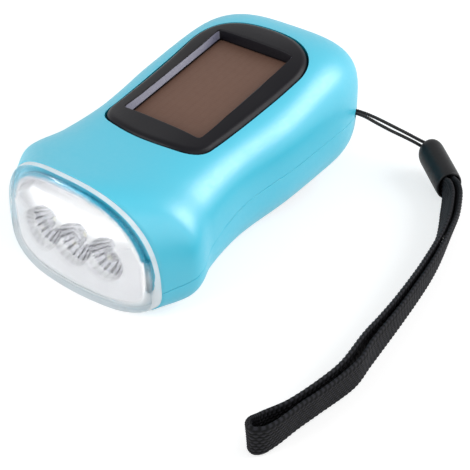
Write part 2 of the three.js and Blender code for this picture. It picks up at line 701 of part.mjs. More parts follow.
const LAMP_NAMES = ['lamp_left', 'lamp_middle', 'lamp_right'];
const LAMP_FLANGE = 0.4;
const DOME_SHARES = [[0.48, 0.12], [0.84, 0.4], [1, 0.9]];

function lamp(x) {
  const tip = LAMP_BACK - LAMP_LENGTH;
  const dome = DOME_SHARES.map(([out, back]) => [LAMP_RADIUS * out, tip + LAMP_RADIUS * back]);
  return turnedAlongY(x, LAMP_Z, [
    [0, tip],
    ...dome,
    [LAMP_RADIUS, LAMP_BACK - OVERRUN],
    [LAMP_RADIUS + LAMP_FLANGE, LAMP_BACK - OVERRUN],
    [LAMP_RADIUS + LAMP_FLANGE, LAMP_BACK],
    [0, LAMP_BACK],
  ], 14);
}

LAMP_PLACES.forEach((x, k) => add(LAMP_NAMES[k], lamp(x), '#f2f4f6', 0.08, 0));

const LAMP_BOARD_REAR = LAMP_BOARD_FRONT + BOARD_THICKNESS;
const LAMP_BOARD_TOP = LAMP_Z + STANDOFF_INSET * 2;
add('lamp_board', box(
  -LAMP_BOARD_HALF, LAMP_BOARD_HALF,
  LAMP_BOARD_FRONT, LAMP_BOARD_REAR,
  BOARD_TOP + GAP, LAMP_BOARD_TOP,
), GREEN_BOARD, 0.5, 0);

// Solar cell and its frame
const CELL_MARGIN = 0.4;
const OPENING_SLOPE = { reach: 0.8, depth: 1.5 };

// The frame's opening narrows towards the cell, then drops straight.
function openingSlope() {
  const levels = [[0, -OPENING_SLOPE.depth], [OPENING_SLOPE.reach, 0], [OPENING_SLOPE.reach, WELL_TOP]];
  return solid(loft(levels.map(([grow, z]) => {
    const w = SOLAR_HALF_WIDTH + grow;
    const l = SOLAR_HALF_LENGTH + grow;
    return [[-w, -l], [w, -l], [w, l], [-w, l]].map(([x, y]) => new THREE.Vector3(x, y, z));
  })));
}

function solarBezel() {
  const ring = inWell(prism(bezelOutline(0), WELL_FLOOR + GAP, WELL_TOP, WELL_SEGMENTS));
  const skin = solid(bodyLoft(-BEZEL_RISE));
  const w = SOLAR_HALF_WIDTH;
  const l = SOLAR_HALF_LENGTH;
  const m = CELL_MARGIN + GAP;
  const opening = box(-w, w, -l, l, -WELL_TOP, WELL_TOP);
  const recess = box(-w - m, w + m, -l - m, l + m, -WELL_TOP, GAP - SOLAR_DEPTH);
  return cut(ring.intersect(skin), inWell(opening), inWell(openingSlope()), inWell(recess));
}

function solarCell() {
  const w = SOLAR_HALF_WIDTH + CELL_MARGIN;
  const l = SOLAR_HALF_LENGTH + CELL_MARGIN;
  return inWell(box(-w, w, -l, l, -SOLAR_DEPTH - CELL_THIN, -SOLAR_DEPTH));
}

add('solar_bezel', solarBezel(), BLACK, 0.35, 0);
add('solar_panel', solarCell(), '#70584e', 0.3, 0);

// Folding crank: hub, hinged arm and turning knob
const LUG_RADIUS = 1.5;
const LUG_THICKNESS = 2.4;
const HINGE_RADIUS = 0.9;
const HINGE_FIT = 0.1;
const TONGUE_HALF = 2;
const ARM_NECK = 2.6;
const SHAFT_RADIUS = 2;
const SHAFT_FIT = 0.1;
const SHAFT_BOTTOM = HUB_TOP + OVERRUN;
const HUB_SCREW = { head: 2.3, height: 1.2, shank: 0.9, bite: 4 };
const HUB_SCREW_TIP = SHAFT_BOTTOM + HUB_SCREW.bite;
const LUG_INNER = TONGUE_HALF + GAP;
const LUG_OUTER = LUG_INNER + LUG_THICKNESS;

function hub() {
  const bossTop = DISH_TOP - GAP;
  const disc = turned(0, CRANK_Y, [
    [0, HUB_BOTTOM],
    [HUB_RADIUS - GAP, HUB_BOTTOM],
    [HUB_RADIUS, HUB_BOTTOM + GAP],
    [HUB_RADIUS, HUB_TOP],
    [HUB_BOSS_RADIUS, HUB_TOP],
    [HUB_BOSS_RADIUS, bossTop],
    [0, bossTop],
  ], 32);
  const lugs = [-1, 1].map((side) => {
    const [a, b] = side > 0 ? [LUG_INNER, LUG_OUTER] : [-LUG_OUTER, -LUG_INNER];
    const round = barAlongX(a, b, HINGE_Y, HINGE_Z, LUG_RADIUS, 16);
    const leg = box(a, b, HINGE_Y - LUG_RADIUS, HINGE_Y + LUG_RADIUS, HINGE_Z, HUB_BOTTOM + GAP);
    return round.add(leg);
  });
  const headRoom = HUB_SCREW.height + 2 * GAP;
  return cut(
    join(disc, ...lugs),
    barAlongX(-HUB_RADIUS, HUB_RADIUS, HINGE_Y, HINGE_Z, HINGE_RADIUS + HINGE_FIT, 16),
    post(0, CRANK_Y, SHAFT_BOTTOM - GAP, DISH_TOP, SHAFT_RADIUS + SHAFT_FIT),
    post(0, CRANK_Y, HUB_BOTTOM - OVERRUN, HUB_BOTTOM + headRoom, HUB_SCREW.head + GAP),
    post(0, CRANK_Y, HUB_BOTTOM, SHAFT_BOTTOM, HUB_SCREW.shank + SHAFT_FIT, SCREW_SIDES),
  );
}

function hubScrew() {
  const bottom = HUB_BOTTOM + GAP;
  const top = bottom + HUB_SCREW.height;
  const slot = box(-HUB_SCREW.head, HUB_SCREW.head, CRANK_Y - GAP, CRANK_Y + GAP, 0, bottom + GAP);
  const head = post(0, CRANK_Y, bottom, top, HUB_SCREW.head, SCREW_SIDES);
  return head.add(post(0, CRANK_Y, bottom, HUB_SCREW_TIP, HUB_SCREW.shank, SCREW_SIDES)).subtract(slot);
}

function driveShaft() {
  const bar = post(0, CRANK_Y, SHAFT_BOTTOM, COVER_TOP + GAP, SHAFT_RADIUS);
  return bar.subtract(post(0, CRANK_Y, 0, HUB_SCREW_TIP + GAP, HUB_SCREW.shank + SHAFT_FIT, SCREW_SIDES));
}

const KNOB_PIN = { radius: 1.1, head: 2, headHeight: 0.9, fit: 0.15 };

// The arm's plan: a narrow tongue at the hinge, a wide middle and a round knob end.
function crankArm() {
  const reach = KNOB_Y - HINGE_Y;
  const half = ARM_WIDTH / 2;
  const outline = new THREE.Shape();
  const shoulder = LUG_RADIUS + ARM_NECK - OVERRUN;
  outline.moveTo(-TONGUE_HALF, 0);
  outline.lineTo(-TONGUE_HALF, shoulder);
  outline.lineTo(-half, shoulder + OVERRUN);
  outline.lineTo(-half, reach - ARM_WIDTH);
  outline.lineTo(-KNOB_RADIUS, reach);
  outline.absarc(0, reach, KNOB_RADIUS, Math.PI, 0, true);
  outline.lineTo(half, reach - ARM_WIDTH);
  outline.lineTo(half, shoulder + OVERRUN);
  outline.lineTo(TONGUE_HALF, shoulder);
  outline.lineTo(TONGUE_HALF, 0);
  const plate = prism(outline, ARM_BOTTOM, ARM_TOP, 14);
  const moved = solid(geometryOf(plate).translate(0, HINGE_Y, 0));
  const knuckle = barAlongX(-TONGUE_HALF, TONGUE_HALF, HINGE_Y, HINGE_Z, LUG_RADIUS, 16);
  const neckTop = ARM_BOTTOM + GAP;
  const neck = box(-TONGUE_HALF, TONGUE_HALF, HINGE_Y - LUG_RADIUS, HINGE_Y + LUG_RADIUS, HINGE_Z, neckTop);
  const webbed = join(moved, knuckle, neck, box(
    -TONGUE_HALF, TONGUE_HALF,
    HINGE_Y - LUG_RADIUS, HINGE_Y,
    ARM_BOTTOM, ARM_TOP,
  ));
  const headTop = ARM_BOTTOM + KNOB_PIN.headHeight + GAP;
  return cut(
    webbed,
    barAlongX(-ARM_WIDTH, ARM_WIDTH, HINGE_Y, HINGE_Z, HINGE_RADIUS + HINGE_FIT, 16),
    post(0, KNOB_Y, 0, headTop, KNOB_PIN.head + KNOB_PIN.fit, SCREW_SIDES),
    post(0, KNOB_Y, 0, KNOB_TOP, KNOB_PIN.radius + KNOB_PIN.fit, SCREW_SIDES),
  );
}

function knobPin() {
  const bottom = ARM_BOTTOM + GAP / 2;
  const top = KNOB_TOP - GAP;
  return join(
    post(0, KNOB_Y, bottom, bottom + KNOB_PIN.headHeight, KNOB_PIN.head, SCREW_SIDES),
    post(0, KNOB_Y, bottom, top, KNOB_PIN.radius, SCREW_SIDES),
    post(0, KNOB_Y, top - KNOB_PIN.headHeight, top, KNOB_PIN.head, SCREW_SIDES),
  );
}

function knob() {
  const waist = KNOB_RADIUS - GAP;
  const body = turned(0, KNOB_Y, [
    [0, KNOB_BOTTOM],
    [waist, KNOB_BOTTOM],
    [KNOB_RADIUS, KNOB_BOTTOM + GAP],
    [waist, (KNOB_BOTTOM + KNOB_TOP) / 2],
    [KNOB_RADIUS, KNOB_TOP - OVERRUN],
    [waist, KNOB_TOP],
    [0, KNOB_TOP],
  ], 24);
  const seat = KNOB_TOP - KNOB_PIN.headHeight - 2 * GAP;
  return cut(
    body,
    post(0, KNOB_Y, 0, KNOB_TOP, KNOB_PIN.radius + KNOB_PIN.fit, SCREW_SIDES),
    post(0, KNOB_Y, seat, KNOB_TOP + OVERRUN, KNOB_PIN.head + KNOB_PIN.fit, SCREW_SIDES),
  );
}

add('crank_hub', hub(), '#e9eaeb', 0.45, 0);
add('hub_screw', hubScrew(), STEEL, 0.3, 0.9);
add('crank_hinge_pin', barAlongX(-LUG_OUTER, LUG_OUTER, HINGE_Y, HINGE_Z, HINGE_RADIUS, 16), STEEL, 0.3, 0.9);
add('drive_shaft', driveShaft(), STEEL, 0.3, 0.9);
add('crank_arm', crankArm(), '#e9eaeb', 0.45, 0);
add('knob_pin', knobPin(), STEEL, 0.3, 0.9);
add('crank_knob', knob(), BLACK, 0.4, 0);

// Gears: straight teeth with a little play, each a share of the tooth pitch
const TOOTH = { add: 0.85, root: 1.15, tipShare: 0.2, rootShare: 0.6 };
const COLLAR = 1;
const AXLE_RADIUS = 1;

function gear(teeth, centre, phase, bottom) {
  const pitch = (2 * Math.PI) / teeth;
  const radius = (TOOTH_MODULE * teeth) / 2;
  const tip = radius + TOOTH_MODULE * TOOTH.add;
  const root = radius - TOOTH_MODULE * TOOTH.root;
  const outline = new THREE.Shape();
  for (let k = 0; k < teeth; k += 1) {
    const middle = phase + k * pitch;
    const corners = [[root, -TOOTH.rootShare], [tip, -TOOTH.tipShare], [tip, TOOTH.tipShare], [root, TOOTH.rootShare]];
    corners.forEach(([r, share], i) => {
      const angle = middle + (share * pitch) / 2;
      const x = centre.x + r * Math.cos(angle);
      const y = centre.y + r * Math.sin(angle);
      if (k + i === 0) {
        outline.moveTo(x, y);
      } else {
        outline.lineTo(x, y);
      }
    });
  }
  return prism(outline, bottom, bottom + GEAR_THICKNESS);
}

// Where a gear sits that meshes with two others, on the chosen side of their line.
function between(first, firstReach, second, secondReach, side) {
  const span = second.clone().sub(first);
  const length = span.length();
  const along = (firstReach ** 2 - secondReach ** 2 + length ** 2) / (2 * length);
  const across = side * Math.sqrt(firstReach ** 2 - along ** 2);
  const unit = span.divideScalar(length);
  return new THREE.Vector2(
    first.x + unit.x * along - unit.y * across,
    first.y + unit.y * along + unit.x * across,
  );
}

function meshReach(a, b) {
  return (TOOTH_MODULE * (a + b)) / 2;
}

// The turn that puts a gap of the second gear over a tooth of the first.
function meshPhase(from, fromTeeth, fromPhase, to, toTeeth) {
  const line = Math.atan2(to.y - from.y, to.x - from.x);
  return line + Math.PI + Math.PI / toTeeth - ((fromPhase - line) * fromTeeth) / toTeeth;
}

const crankCentre = new THREE.Vector2(0, CRANK_Y);
const rotorCentre = new THREE.Vector2(0, ROTOR_Y);
const firstReach = meshReach(CRANK_TEETH, PINION_TEETH);
const firstDrop = Math.sqrt(firstReach ** 2 - IDLER_1_X ** 2);
const idler1 = new THREE.Vector2(IDLER_1_X, CRANK_Y - firstDrop);
const secondReach = meshReach(IDLER_1_TEETH, PINION_TEETH);
const thirdReach = meshReach(IDLER_2_TEETH, ROTOR_TEETH);
const idler2 = between(idler1, secondReach, rotorCentre, thirdReach, -1);
const pinion1Phase = meshPhase(crankCentre, CRANK_TEETH, 0, idler1, PINION_TEETH);
const pinion2Phase = meshPhase(idler1, IDLER_1_TEETH, 0, idler2, PINION_TEETH);
const rotorPhase = meshPhase(idler2, IDLER_2_TEETH, 0, rotorCentre, ROTOR_TEETH);

function compoundGear(centre, phase, pinionBottom, teeth, collars) {
  const pinion = join(
    gear(PINION_TEETH, centre, phase, pinionBottom),
    post(centre.x, centre.y, collars[0], collars[1], AXLE_RADIUS + COLLAR, SCREW_SIDES),
  );
  const wheel = gear(teeth, centre, 0, pinionBottom + GEAR_THICKNESS + LAYER_GAP);
  const bore = post(centre.x, centre.y, 0, BODY_HEIGHT, AXLE_RADIUS + SHAFT_FIT, SCREW_SIDES);
  return cut(join(pinion, wheel), bore);
}

const collarSpan = [BASE_TOP + GAP, COVER_BOTTOM - GAP];
const crankGear = cut(
  join(
    gear(CRANK_TEETH, crankCentre, 0, LAYER_A),
    post(0, CRANK_Y, collarSpan[0], collarSpan[1], SHAFT_RADIUS + COLLAR, SCREW_SIDES),
  ),
  post(0, CRANK_Y, 0, BODY_HEIGHT, SHAFT_RADIUS + SHAFT_FIT),
);
add('crank_gear', crankGear, WHITE_PLASTIC, 0.5, 0);
add('idler_gear_1', compoundGear(idler1, pinion1Phase, LAYER_A, IDLER_1_TEETH, collarSpan), WHITE_PLASTIC, 0.5, 0);
add('idler_gear_2', compoundGear(idler2, pinion2Phase, LAYER_B, IDLER_2_TEETH, collarSpan), WHITE_PLASTIC, 0.5, 0);
[idler1, idler2].forEach((centre, k) => {
  const axle = post(centre.x, centre.y, BASE_BOTTOM, COVER_TOP, AXLE_RADIUS, SCREW_SIDES);
  add(`idler_axle_${k + 1}`, axle, STEEL, 0.3, 0.9);
});

// Gearbox plates, with pillars between them, inside the case's wall
const PILLAR = { radius: 1.6, x: 17, shift: 0.5, beforeCrank: 12, pastCrank: 15, behindRotor: 5 };
const PILLARS = [
  [-PILLAR.x - PILLAR.shift, CRANK_Y - PILLAR.beforeCrank],
  [PILLAR.x, CRANK_Y + PILLAR.pastCrank],
  [-PILLAR.x, CRANK_Y + PILLAR.pastCrank],
  [PILLAR.x - PILLAR.shift, ROTOR_Y + PILLAR.behindRotor],
];
const STATOR_CLEAR = 0.6;
const plateRoom = solid(bodyLoft(WALL + GAP, INNER_POINTS, INNER_RINGS));

function plateOutline(withNose) {
  const w = PLATE.halfWidth;
  const outline = new THREE.Shape();
  outline.moveTo(-w, PLATE_REAR - PLATE.slope / 2);
  outline.lineTo(PLATE.slope - w, PLATE_REAR);
  outline.lineTo(w - PLATE.slope, PLATE_REAR);
  outline.lineTo(w, PLATE_REAR - PLATE.slope / 2);
  outline.lineTo(w, PLATE_FRONT);
  if (withNose) {
    outline.lineTo(PLATE.noseHalf, PLATE_FRONT);
    outline.lineTo(PLATE.noseHalf, PLATE_NOSE);
    outline.lineTo(-PLATE.noseHalf, PLATE_NOSE);
    outline.lineTo(-PLATE.noseHalf, PLATE_FRONT);
  }
  outline.lineTo(-w, PLATE_FRONT);
  return outline;
}

function axleHoles(shaftClear) {
  const small = [idler1, idler2].map((c) => (
    post(c.x, c.y, 0, BODY_HEIGHT, AXLE_RADIUS + SHAFT_FIT, SCREW_SIDES)));
  return join(...small, post(0, CRANK_Y, 0, BODY_HEIGHT, SHAFT_RADIUS + shaftClear));
}

const basePlate = cut(
  prism(plateOutline(false), BASE_BOTTOM, BASE_TOP),
  axleHoles(GAP),
  post(0, ROTOR_Y, 0, BODY_HEIGHT, STATOR_RADIUS + STATOR_CLEAR),
);
const pillars = PILLARS.map(([x, y]) => post(x, y, BASE_TOP + GAP, COVER_TOP, PILLAR.radius, SCREW_SIDES));
const coverPlate = cut(
  join(prism(plateOutline(true), COVER_BOTTOM, COVER_TOP), ...pillars),
  axleHoles(SHAFT_FIT),
  post(0, ROTOR_Y, 0, BODY_HEIGHT, ROTOR_SHAFT_RADIUS + SHAFT_FIT, SCREW_SIDES),
);
add('gear_base_plate', basePlate.intersect(plateRoom), '#3b3e42', 0.5, 0);
add('gear_cover_plate', coverPlate.intersect(plateRoom), '#3b3e42', 0.5, 0);

// Generator: a magnet rotor inside a ring of poles and a wound bobbin
const CLAW = { count: 6, width: 2, inner: 6.1, outer: 7, gap: 0.9 };
const COIL = { inner: 7.3, outer: 9.2, flange: 0.8, inset: 0.5 };
const statorTop = LAYER_B - STATOR_HEAD_ROOM;
const capBottom = statorTop - STATOR_WALL;

function claws(bottom, top, turn) {
  const all = [];
  for (let k = 0; k < CLAW.count; k += 1) {
    const shape = new THREE.BoxGeometry(CLAW.outer - CLAW.inner, CLAW.width, top - bottom);
    shape.translate((CLAW.outer + CLAW.inner) / 2, 0, (top + bottom) / 2);
    shape.rotateZ(((k + turn) * 2 * Math.PI) / CLAW.count);
    all.push(solid(shape.translate(0, ROTOR_Y, 0)));
  }
  return join(...all);
}

const clawTop = capBottom - CLAW.gap;
const clawBottom = STATOR_BOTTOM + STATOR_WALL + CLAW.gap;
const cup = cut(
  post(0, ROTOR_Y, STATOR_BOTTOM, capBottom - GAP, STATOR_RADIUS, 32),
  post(0, ROTOR_Y, STATOR_BOTTOM + STATOR_WALL, statorTop, STATOR_RADIUS - STATOR_WALL, 32),
  post(0, ROTOR_Y, 0, statorTop, ROTOR_SHAFT_RADIUS + SHAFT_FIT, SCREW_SIDES),
);
const cap = cut(
  post(0, ROTOR_Y, capBottom, statorTop, STATOR_RADIUS, 32),
  post(0, ROTOR_Y, 0, statorTop + OVERRUN, CLAW.inner),
);
const coil = turned(0, ROTOR_Y, [
  [COIL.inner, clawBottom - COIL.inset],
  [COIL.outer, clawBottom - COIL.inset],
  [COIL.outer, clawBottom - COIL.inset + COIL.flange],
  [COIL.outer - COIL.inset, clawBottom - COIL.inset + COIL.flange],
  [COIL.outer - COIL.inset, clawTop + COIL.inset - COIL.flange],
  [COIL.outer, clawTop + COIL.inset - COIL.flange],
  [COIL.outer, clawTop + COIL.inset],
  [COIL.inner, clawTop + COIL.inset],
  [COIL.inner, clawBottom - COIL.inset],
]);
const magnet = cut(
  post(0, ROTOR_Y, clawBottom, clawTop, ROTOR_RADIUS),
  post(0, ROTOR_Y, 0, statorTop, ROTOR_SHAFT_RADIUS + SHAFT_FIT, SCREW_SIDES),
);
const rotorGear = cut(
  join(
    gear(ROTOR_TEETH, rotorCentre, rotorPhase, LAYER_C),
    post(0, ROTOR_Y, LAYER_B, COVER_BOTTOM - GAP, ROTOR_SHAFT_RADIUS + COLLAR, SCREW_SIDES),
  ),
  post(0, ROTOR_Y, 0, BODY_HEIGHT, ROTOR_SHAFT_RADIUS + SHAFT_FIT, SCREW_SIDES),
);
add('stator_cup', cup.add(claws(STATOR_BOTTOM + GAP, clawTop, 0)), STEEL, 0.4, 0.8);
add('stator_cap', cap.add(claws(clawBottom, statorTop - GAP, 1 / 2)), STEEL, 0.4, 0.8);
add('coil_bobbin', coil, COPPER, 0.45, 0.4);
add('rotor_magnet', magnet, '#4a4b4f', 0.5, 0.3);
add('rotor_pinion', rotorGear, BRASS, 0.35, 0.8);
add('rotor_shaft', post(0, ROTOR_Y, STATOR_BOTTOM, COVER_TOP, ROTOR_SHAFT_RADIUS, SCREW_SIDES), STEEL, 0.3, 0.9);

// Control board, with its chip, diode and capacitor
const CHIP = { x: -12.6, fromRotor: 3.5, halfWidth: 2, halfLength: 2.6, height: 1.4 };
const DIODE = { x: 12.8, fromRotor: -8.5, halfWidth: 1, halfLength: 2, height: 1.6 };
const CAPACITOR = { x: -13.2, fromRotor: -7, radius: 2.2, height: 6 };

function onBoard({ x, fromRotor, halfWidth, halfLength, height }) {
  const y = ROTOR_Y + fromRotor;
  return box(x - halfWidth, x + halfWidth, y - halfLength, y + halfLength, BOARD_TOP - GAP, BOARD_TOP + height);
}

const boardSlab = box(-BOARD_HALF_WIDTH, BOARD_HALF_WIDTH, BOARD_FRONT, BOARD_REAR, BOARD_BOTTOM, BOARD_TOP);
add('control_board', join(boardSlab, onBoard(CHIP), onBoard(DIODE)), GREEN_BOARD, 0.5, 0);
const canBottom = BOARD_TOP + GAP;
const can = post(CAPACITOR.x, ROTOR_Y + CAPACITOR.fromRotor, canBottom, canBottom + CAPACITOR.height, CAPACITOR.radius, 20);
add('capacitor', can, '#1f2a44', 0.4, 0.2);

// Switch under the board, and the button below it
const PLUNGER = { radius: 1.2, length: 2, bore: 1.5, roof: 0.4 };
const plungerBottom = FLANGE_TOP + GAP;
const switchTop = SWITCH_BOTTOM + SWITCH_HEIGHT;
const switchBody = cut(
  box(
    -SWITCH_HALF, SWITCH_HALF,
    BUTTON_Y - SWITCH_HALF, BUTTON_Y + SWITCH_HALF,
    SWITCH_BOTTOM, switchTop,
  ),
  post(0, BUTTON_Y, 0, switchTop - PLUNGER.roof, PLUNGER.bore, SCREW_SIDES),
);
const plunger = post(0, BUTTON_Y, plungerBottom, plungerBottom + PLUNGER.length, PLUNGER.radius, SCREW_SIDES);
const buttonFlange = BUTTON_RADIUS + FLANGE_RIM;
const button = turned(0, BUTTON_Y, [
  [0, BUTTON_RECESS + GAP],
  [BUTTON_RADIUS - OVERRUN, BUTTON_RECESS],
  [BUTTON_RADIUS - GAP, BUTTON_RECESS],
  [BUTTON_RADIUS, BUTTON_RECESS + GAP],
  [BUTTON_RADIUS, FLANGE_BOTTOM],
  [buttonFlange, FLANGE_BOTTOM],
  [buttonFlange, FLANGE_TOP],
  [0, FLANGE_TOP],
]);
add('switch_body', switchBody, '#26272a', 0.5, 0);
add('switch_plunger', plunger, '#c9302c', 0.5, 0);
add('push_button', button, BLACK, 0.5, 0);

// Cells that the crank and the panel charge, in a cradle on the board
const CELL_FRONT = LAMP_BOARD_REAR + 2 * GAP;
const CELL_HEAD_ROOM = 1.81;
const CRADLE = { side: 1.5, floor: 1.2, height: 7 };
const cellFloor = BOARD_TOP + 2 * GAP + CRADLE.floor;
const CELL_RADIUS = (roofHeight(CELL_FRONT) - WALL - CELL_HEAD_ROOM - cellFloor) / 2;
const CRADLE_HALF = CELL_RADIUS + CRADLE.side;
const cellZ = cellFloor + CELL_RADIUS;
const cellPitch = CELL_THICKNESS + GAP;
const cellsRear = CELL_FRONT + cellPitch + CELL_THICKNESS;
[0, 1].forEach((k) => {
  const front = CELL_FRONT + k * cellPitch;
  const cell = barAlongY(0, front, front + CELL_THICKNESS, cellZ, CELL_RADIUS, 32);
  add(`button_cell_${k + 1}`, cell, '#c4c7c9', 0.25, 0.9);
});
const cradle = cut(
  box(-CRADLE_HALF, CRADLE_HALF, CELL_FRONT, cellsRear, BOARD_TOP + GAP, BOARD_TOP + GAP + CRADLE.height),
  barAlongY(0, CELL_FRONT - OVERRUN, cellsRear + OVERRUN, cellZ, CELL_RADIUS + GAP, 32),
);
add('cell_holder', cradle, BLACK, 0.5, 0);

// Wires from the cell to the board, and from the board to the lamps
function panelWire(k) {
  const x = WIRE_X + k * WIRE_PITCH;
  const bottom = BOARD_TOP + GAP;
  return tube([
    [x, WIRE_Y, wellHeight(WELL_FLOOR - TRAY_THICKNESS / 2, WIRE_Y)],
    [x, WIRE_Y - WIRE_RADIUS, COVER_BOTTOM],
    [x, WIRE_Y - WIRE_PITCH, LAYER_A],
    [x, WIRE_Y - WIRE_PITCH * 2, BOARD_TOP + WIRE_PITCH * 2],
    [x, WIRE_Y - WIRE_PITCH * 2, bottom],
  ], WIRE_RADIUS, 6, 9);
}

function lampWire(side) {
  const x = side * (LAMP_BOARD_HALF - WIRE_PITCH);
  const start = LAMP_BOARD_REAR + GAP;
  return tube([
    [x, start, LAMP_Z],
    [x, start + WIRE_PITCH, LAMP_Z - OVERRUN],
    [x, start + WIRE_PITCH * 2, (LAMP_Z + BOARD_TOP) / 2],
    [x, start + WIRE_PITCH * 2, BOARD_TOP + GAP],
  ], WIRE_RADIUS, 6, 7);
}

add('panel_wire_red', panelWire(0), '#b3282d', 0.5, 0);
add('panel_wire_black', panelWire(1), BLACK, 0.5, 0);
add('lamp_wire_black', lampWire(-1), BLACK, 0.5, 0);
add('lamp_wire_red', lampWire(1), '#b3282d', 0.5, 0);

// Strap: a thin cord looped round the anchor post, a sleeve, and a folded band
// The routes below are drawn for a rear corner at ROUTE_SIDE and ROUTE_REAR, and move with the real one.
const ROUTE_SIDE = 29.4;
const ROUTE_REAR = 52.5;

function onRoute(x, y) {
  return new THREE.Vector2(x + BODY_WIDTH / 2 - ROUTE_SIDE, y + HALF_BODY - ROUTE_REAR);
}

const FERRULE_REAR = onRoute(42.3, 49.6);
const FERRULE_LIFT = 2.05;
const FERRULE_MOUTH = onRoute(54.9, 39.4);
const FERRULE_Z = FERRULE_HALF_HEIGHT + 0.05;
const FERRULE_SHARES = [[0, 0.5], [0.04, 0.78], [0.11, 0.93], [0.22, 1], [0.9, 1], [1, 0.97]];
const RECESS = { depth: 3, halfWidth: 2.9, halfHeight: 3.5 };
const BAND_REST = 0.05;

// Rings round the sleeve's axis, square to it.
function sleeveLoft(stations, halfWidth, halfHeight, power) {
  const axis = FERRULE_MOUTH.clone().sub(FERRULE_REAR);
  const across = new THREE.Vector2(-axis.y, axis.x).normalize();
  const rings = stations.map(([place, size]) => {
    const ring = [];
    for (let i = 0; i < 24; i += 1) {
      const angle = (-2 * Math.PI * i) / 24;
      const side = halfWidth * size * signedPower(Math.cos(angle), power);
      const x = FERRULE_REAR.x + axis.x * place + across.x * side;
      const y = FERRULE_REAR.y + axis.y * place + across.y * side;
      const z = FERRULE_Z + FERRULE_LIFT * (1 - place) + halfHeight * size * signedPower(Math.sin(angle), power);
      ring.push(new THREE.Vector3(x, y, z));
    }
    return ring;
  });
  return solid(loft(rings));
}

function ferrule() {
  const length = FERRULE_REAR.distanceTo(FERRULE_MOUTH);
  const floor = 1 - RECESS.depth / length;
  const body = sleeveLoft(FERRULE_SHARES, FERRULE_HALF_WIDTH, FERRULE_HALF_HEIGHT, 1);
  return body.subtract(sleeveLoft([[floor, 1], [1 + floor, 1]], RECESS.halfWidth, RECESS.halfHeight, 2 / 3));
}

// The cord's route, from the sleeve round the post and back
const STRING_ROUTE = [
  [41.8, 50.1, 7.5], [39.6, 49.2, 8.4], [36, 47.6, 10.2], [31.9, 45.6, 12.3], [28.4, 43.7, 14.2],
  [25.4, 42.3, 15.4], [22.4, 41.35, 15.9], [20.2, 41, 15.9], [18.2, 41, 15.9], [16.9, 39.9, 15.9],
  [16.7, 38.4, 15.9], [17.9, 37.3, 15.9], [19.6, 37.6, 15.9], [21.4, 38.9, 15.9], [23, 39.95, 15.9],
  [25.8, 41.2, 15.1], [28.9, 42.9, 13.2], [32.4, 45, 11], [36, 47.1, 9], [38.8, 48.5, 7.5],
  [41.3, 49.6, 6.1],
];
const stringPoints = STRING_ROUTE.map(([x, y, z]) => [...onRoute(x, y), z]);
add('strap_string', tube(stringPoints, STRING_DIAMETER / 2, 8, 40), '#1d1c1e', 0.8, 0);
add('strap_ferrule', ferrule(), '#2a2b2d', 0.5, 0);

// The band's route: across and along, its outward lean in degrees, and its width as a share
const BAND_ROUTE = [
  [53.4, 41.8, 0, 0.56], [55.5, 40, 0, 0.62], [57, 37.9, 4, 0.8], [58.6, 35.7, 9, 0.94], [60.9, 31.5, 14, 1],
  [64.2, 24.2, 14, 1], [66.4, 17.5, 11, 1], [69.2, 5.5, 9, 1], [71.8, -13.1, 9, 1], [73.4, -30.1, 6, 1],
  [74.3, -37.5, 8, 1], [72.6, -49.8, 12, 1], [71.5, -55.5, 11, 1], [70.5, -62.4, 10, 1], [69.4, -65.8, 9, 1],
  [67.7, -67, 8, 1], [66.2, -66, 2, 1], [66.4, -63.6, -6, 1], [69, -56, -11, 1], [71, -45.3, -11, 1],
  [71.4, -39.6, -11, 1], [70.3, -28.7, -11, 1], [70.1, -21.5, -11, 1], [69.5, -13.2, -12, 1], [67.9, 0.7, -12, 1],
  [65.4, 14, -13, 1], [63.1, 21.7, -14, 1], [59.3, 30.3, -14, 1], [57.1, 34.2, -9, 0.94], [55.6, 36.5, -4, 0.8],
  [54.65, 37.8, 0, 0.64], [53.8, 38.75, 0, 0.56], [52.3, 40.35, 0, 0.54],
];
const BAND_STEPS = 76;

function bandStation(path, leans, widths, t) {
  const centre = path.getPoint(t);
  const ahead = path.getTangent(t);
  const out = new THREE.Vector3(-ahead.y, ahead.x, 0).normalize();
  const lean = THREE.MathUtils.degToRad(leans.getPoint(t).x);
  const share = Math.min(1, widths.getPoint(t).x);
  const across = out.clone().multiplyScalar(Math.cos(lean)).setZ(-Math.sin(lean));
  const up = out.clone().multiplyScalar(Math.sin(lean)).setZ(Math.cos(lean));
  const rest = (WEBBING_WIDTH / 2) * Math.cos(lean) + (WEBBING_THICKNESS / 2) * Math.abs(Math.sin(lean));
  centre.setZ(rest + BAND_REST - (1 - share) * WEBBING_THICKNESS);
  const corners = [[1, 1], [1, -1], [-1, -1], [-1, 1]];
  return corners.map(([side, high]) => centre.clone()
    .addScaledVector(across, (side * WEBBING_THICKNESS) / 2)
    .addScaledVector(up, (high * share * WEBBING_WIDTH) / 2));
}

function band() {
  const path = new THREE.CatmullRomCurve3(BAND_ROUTE.map(([x, y]) => new THREE.Vector3(...onRoute(x, y), 0)));
  const leans = new THREE.CatmullRomCurve3(BAND_ROUTE.map((row) => new THREE.Vector3(row[2], 0, 0)));
  const widths = new THREE.CatmullRomCurve3(BAND_ROUTE.map((row) => new THREE.Vector3(row[3], 0, 0)));
  const rings = [];
  for (let k = 0; k <= BAND_STEPS; k += 1) {
    rings.push(bandStation(path, leans, widths, k / BAND_STEPS));
  }
  return solid(loft(rings));
}

add('strap_webbing', band(), '#232224', 0.9, 0);

export default flashlight;
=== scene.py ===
"""Looks of a hand crank flashlight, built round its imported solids.

Sizes and places are in millimetres, in the part's own frame: +Z is up, -Y is the lamp end,
and z = 0 is the surface it lies on. Every mesh is scaled to metres where it is made.
"""

import math

import bmesh
import bpy
import numpy as np
from mathutils import Matrix, Vector
from mathutils.bvhtree import BVHTree


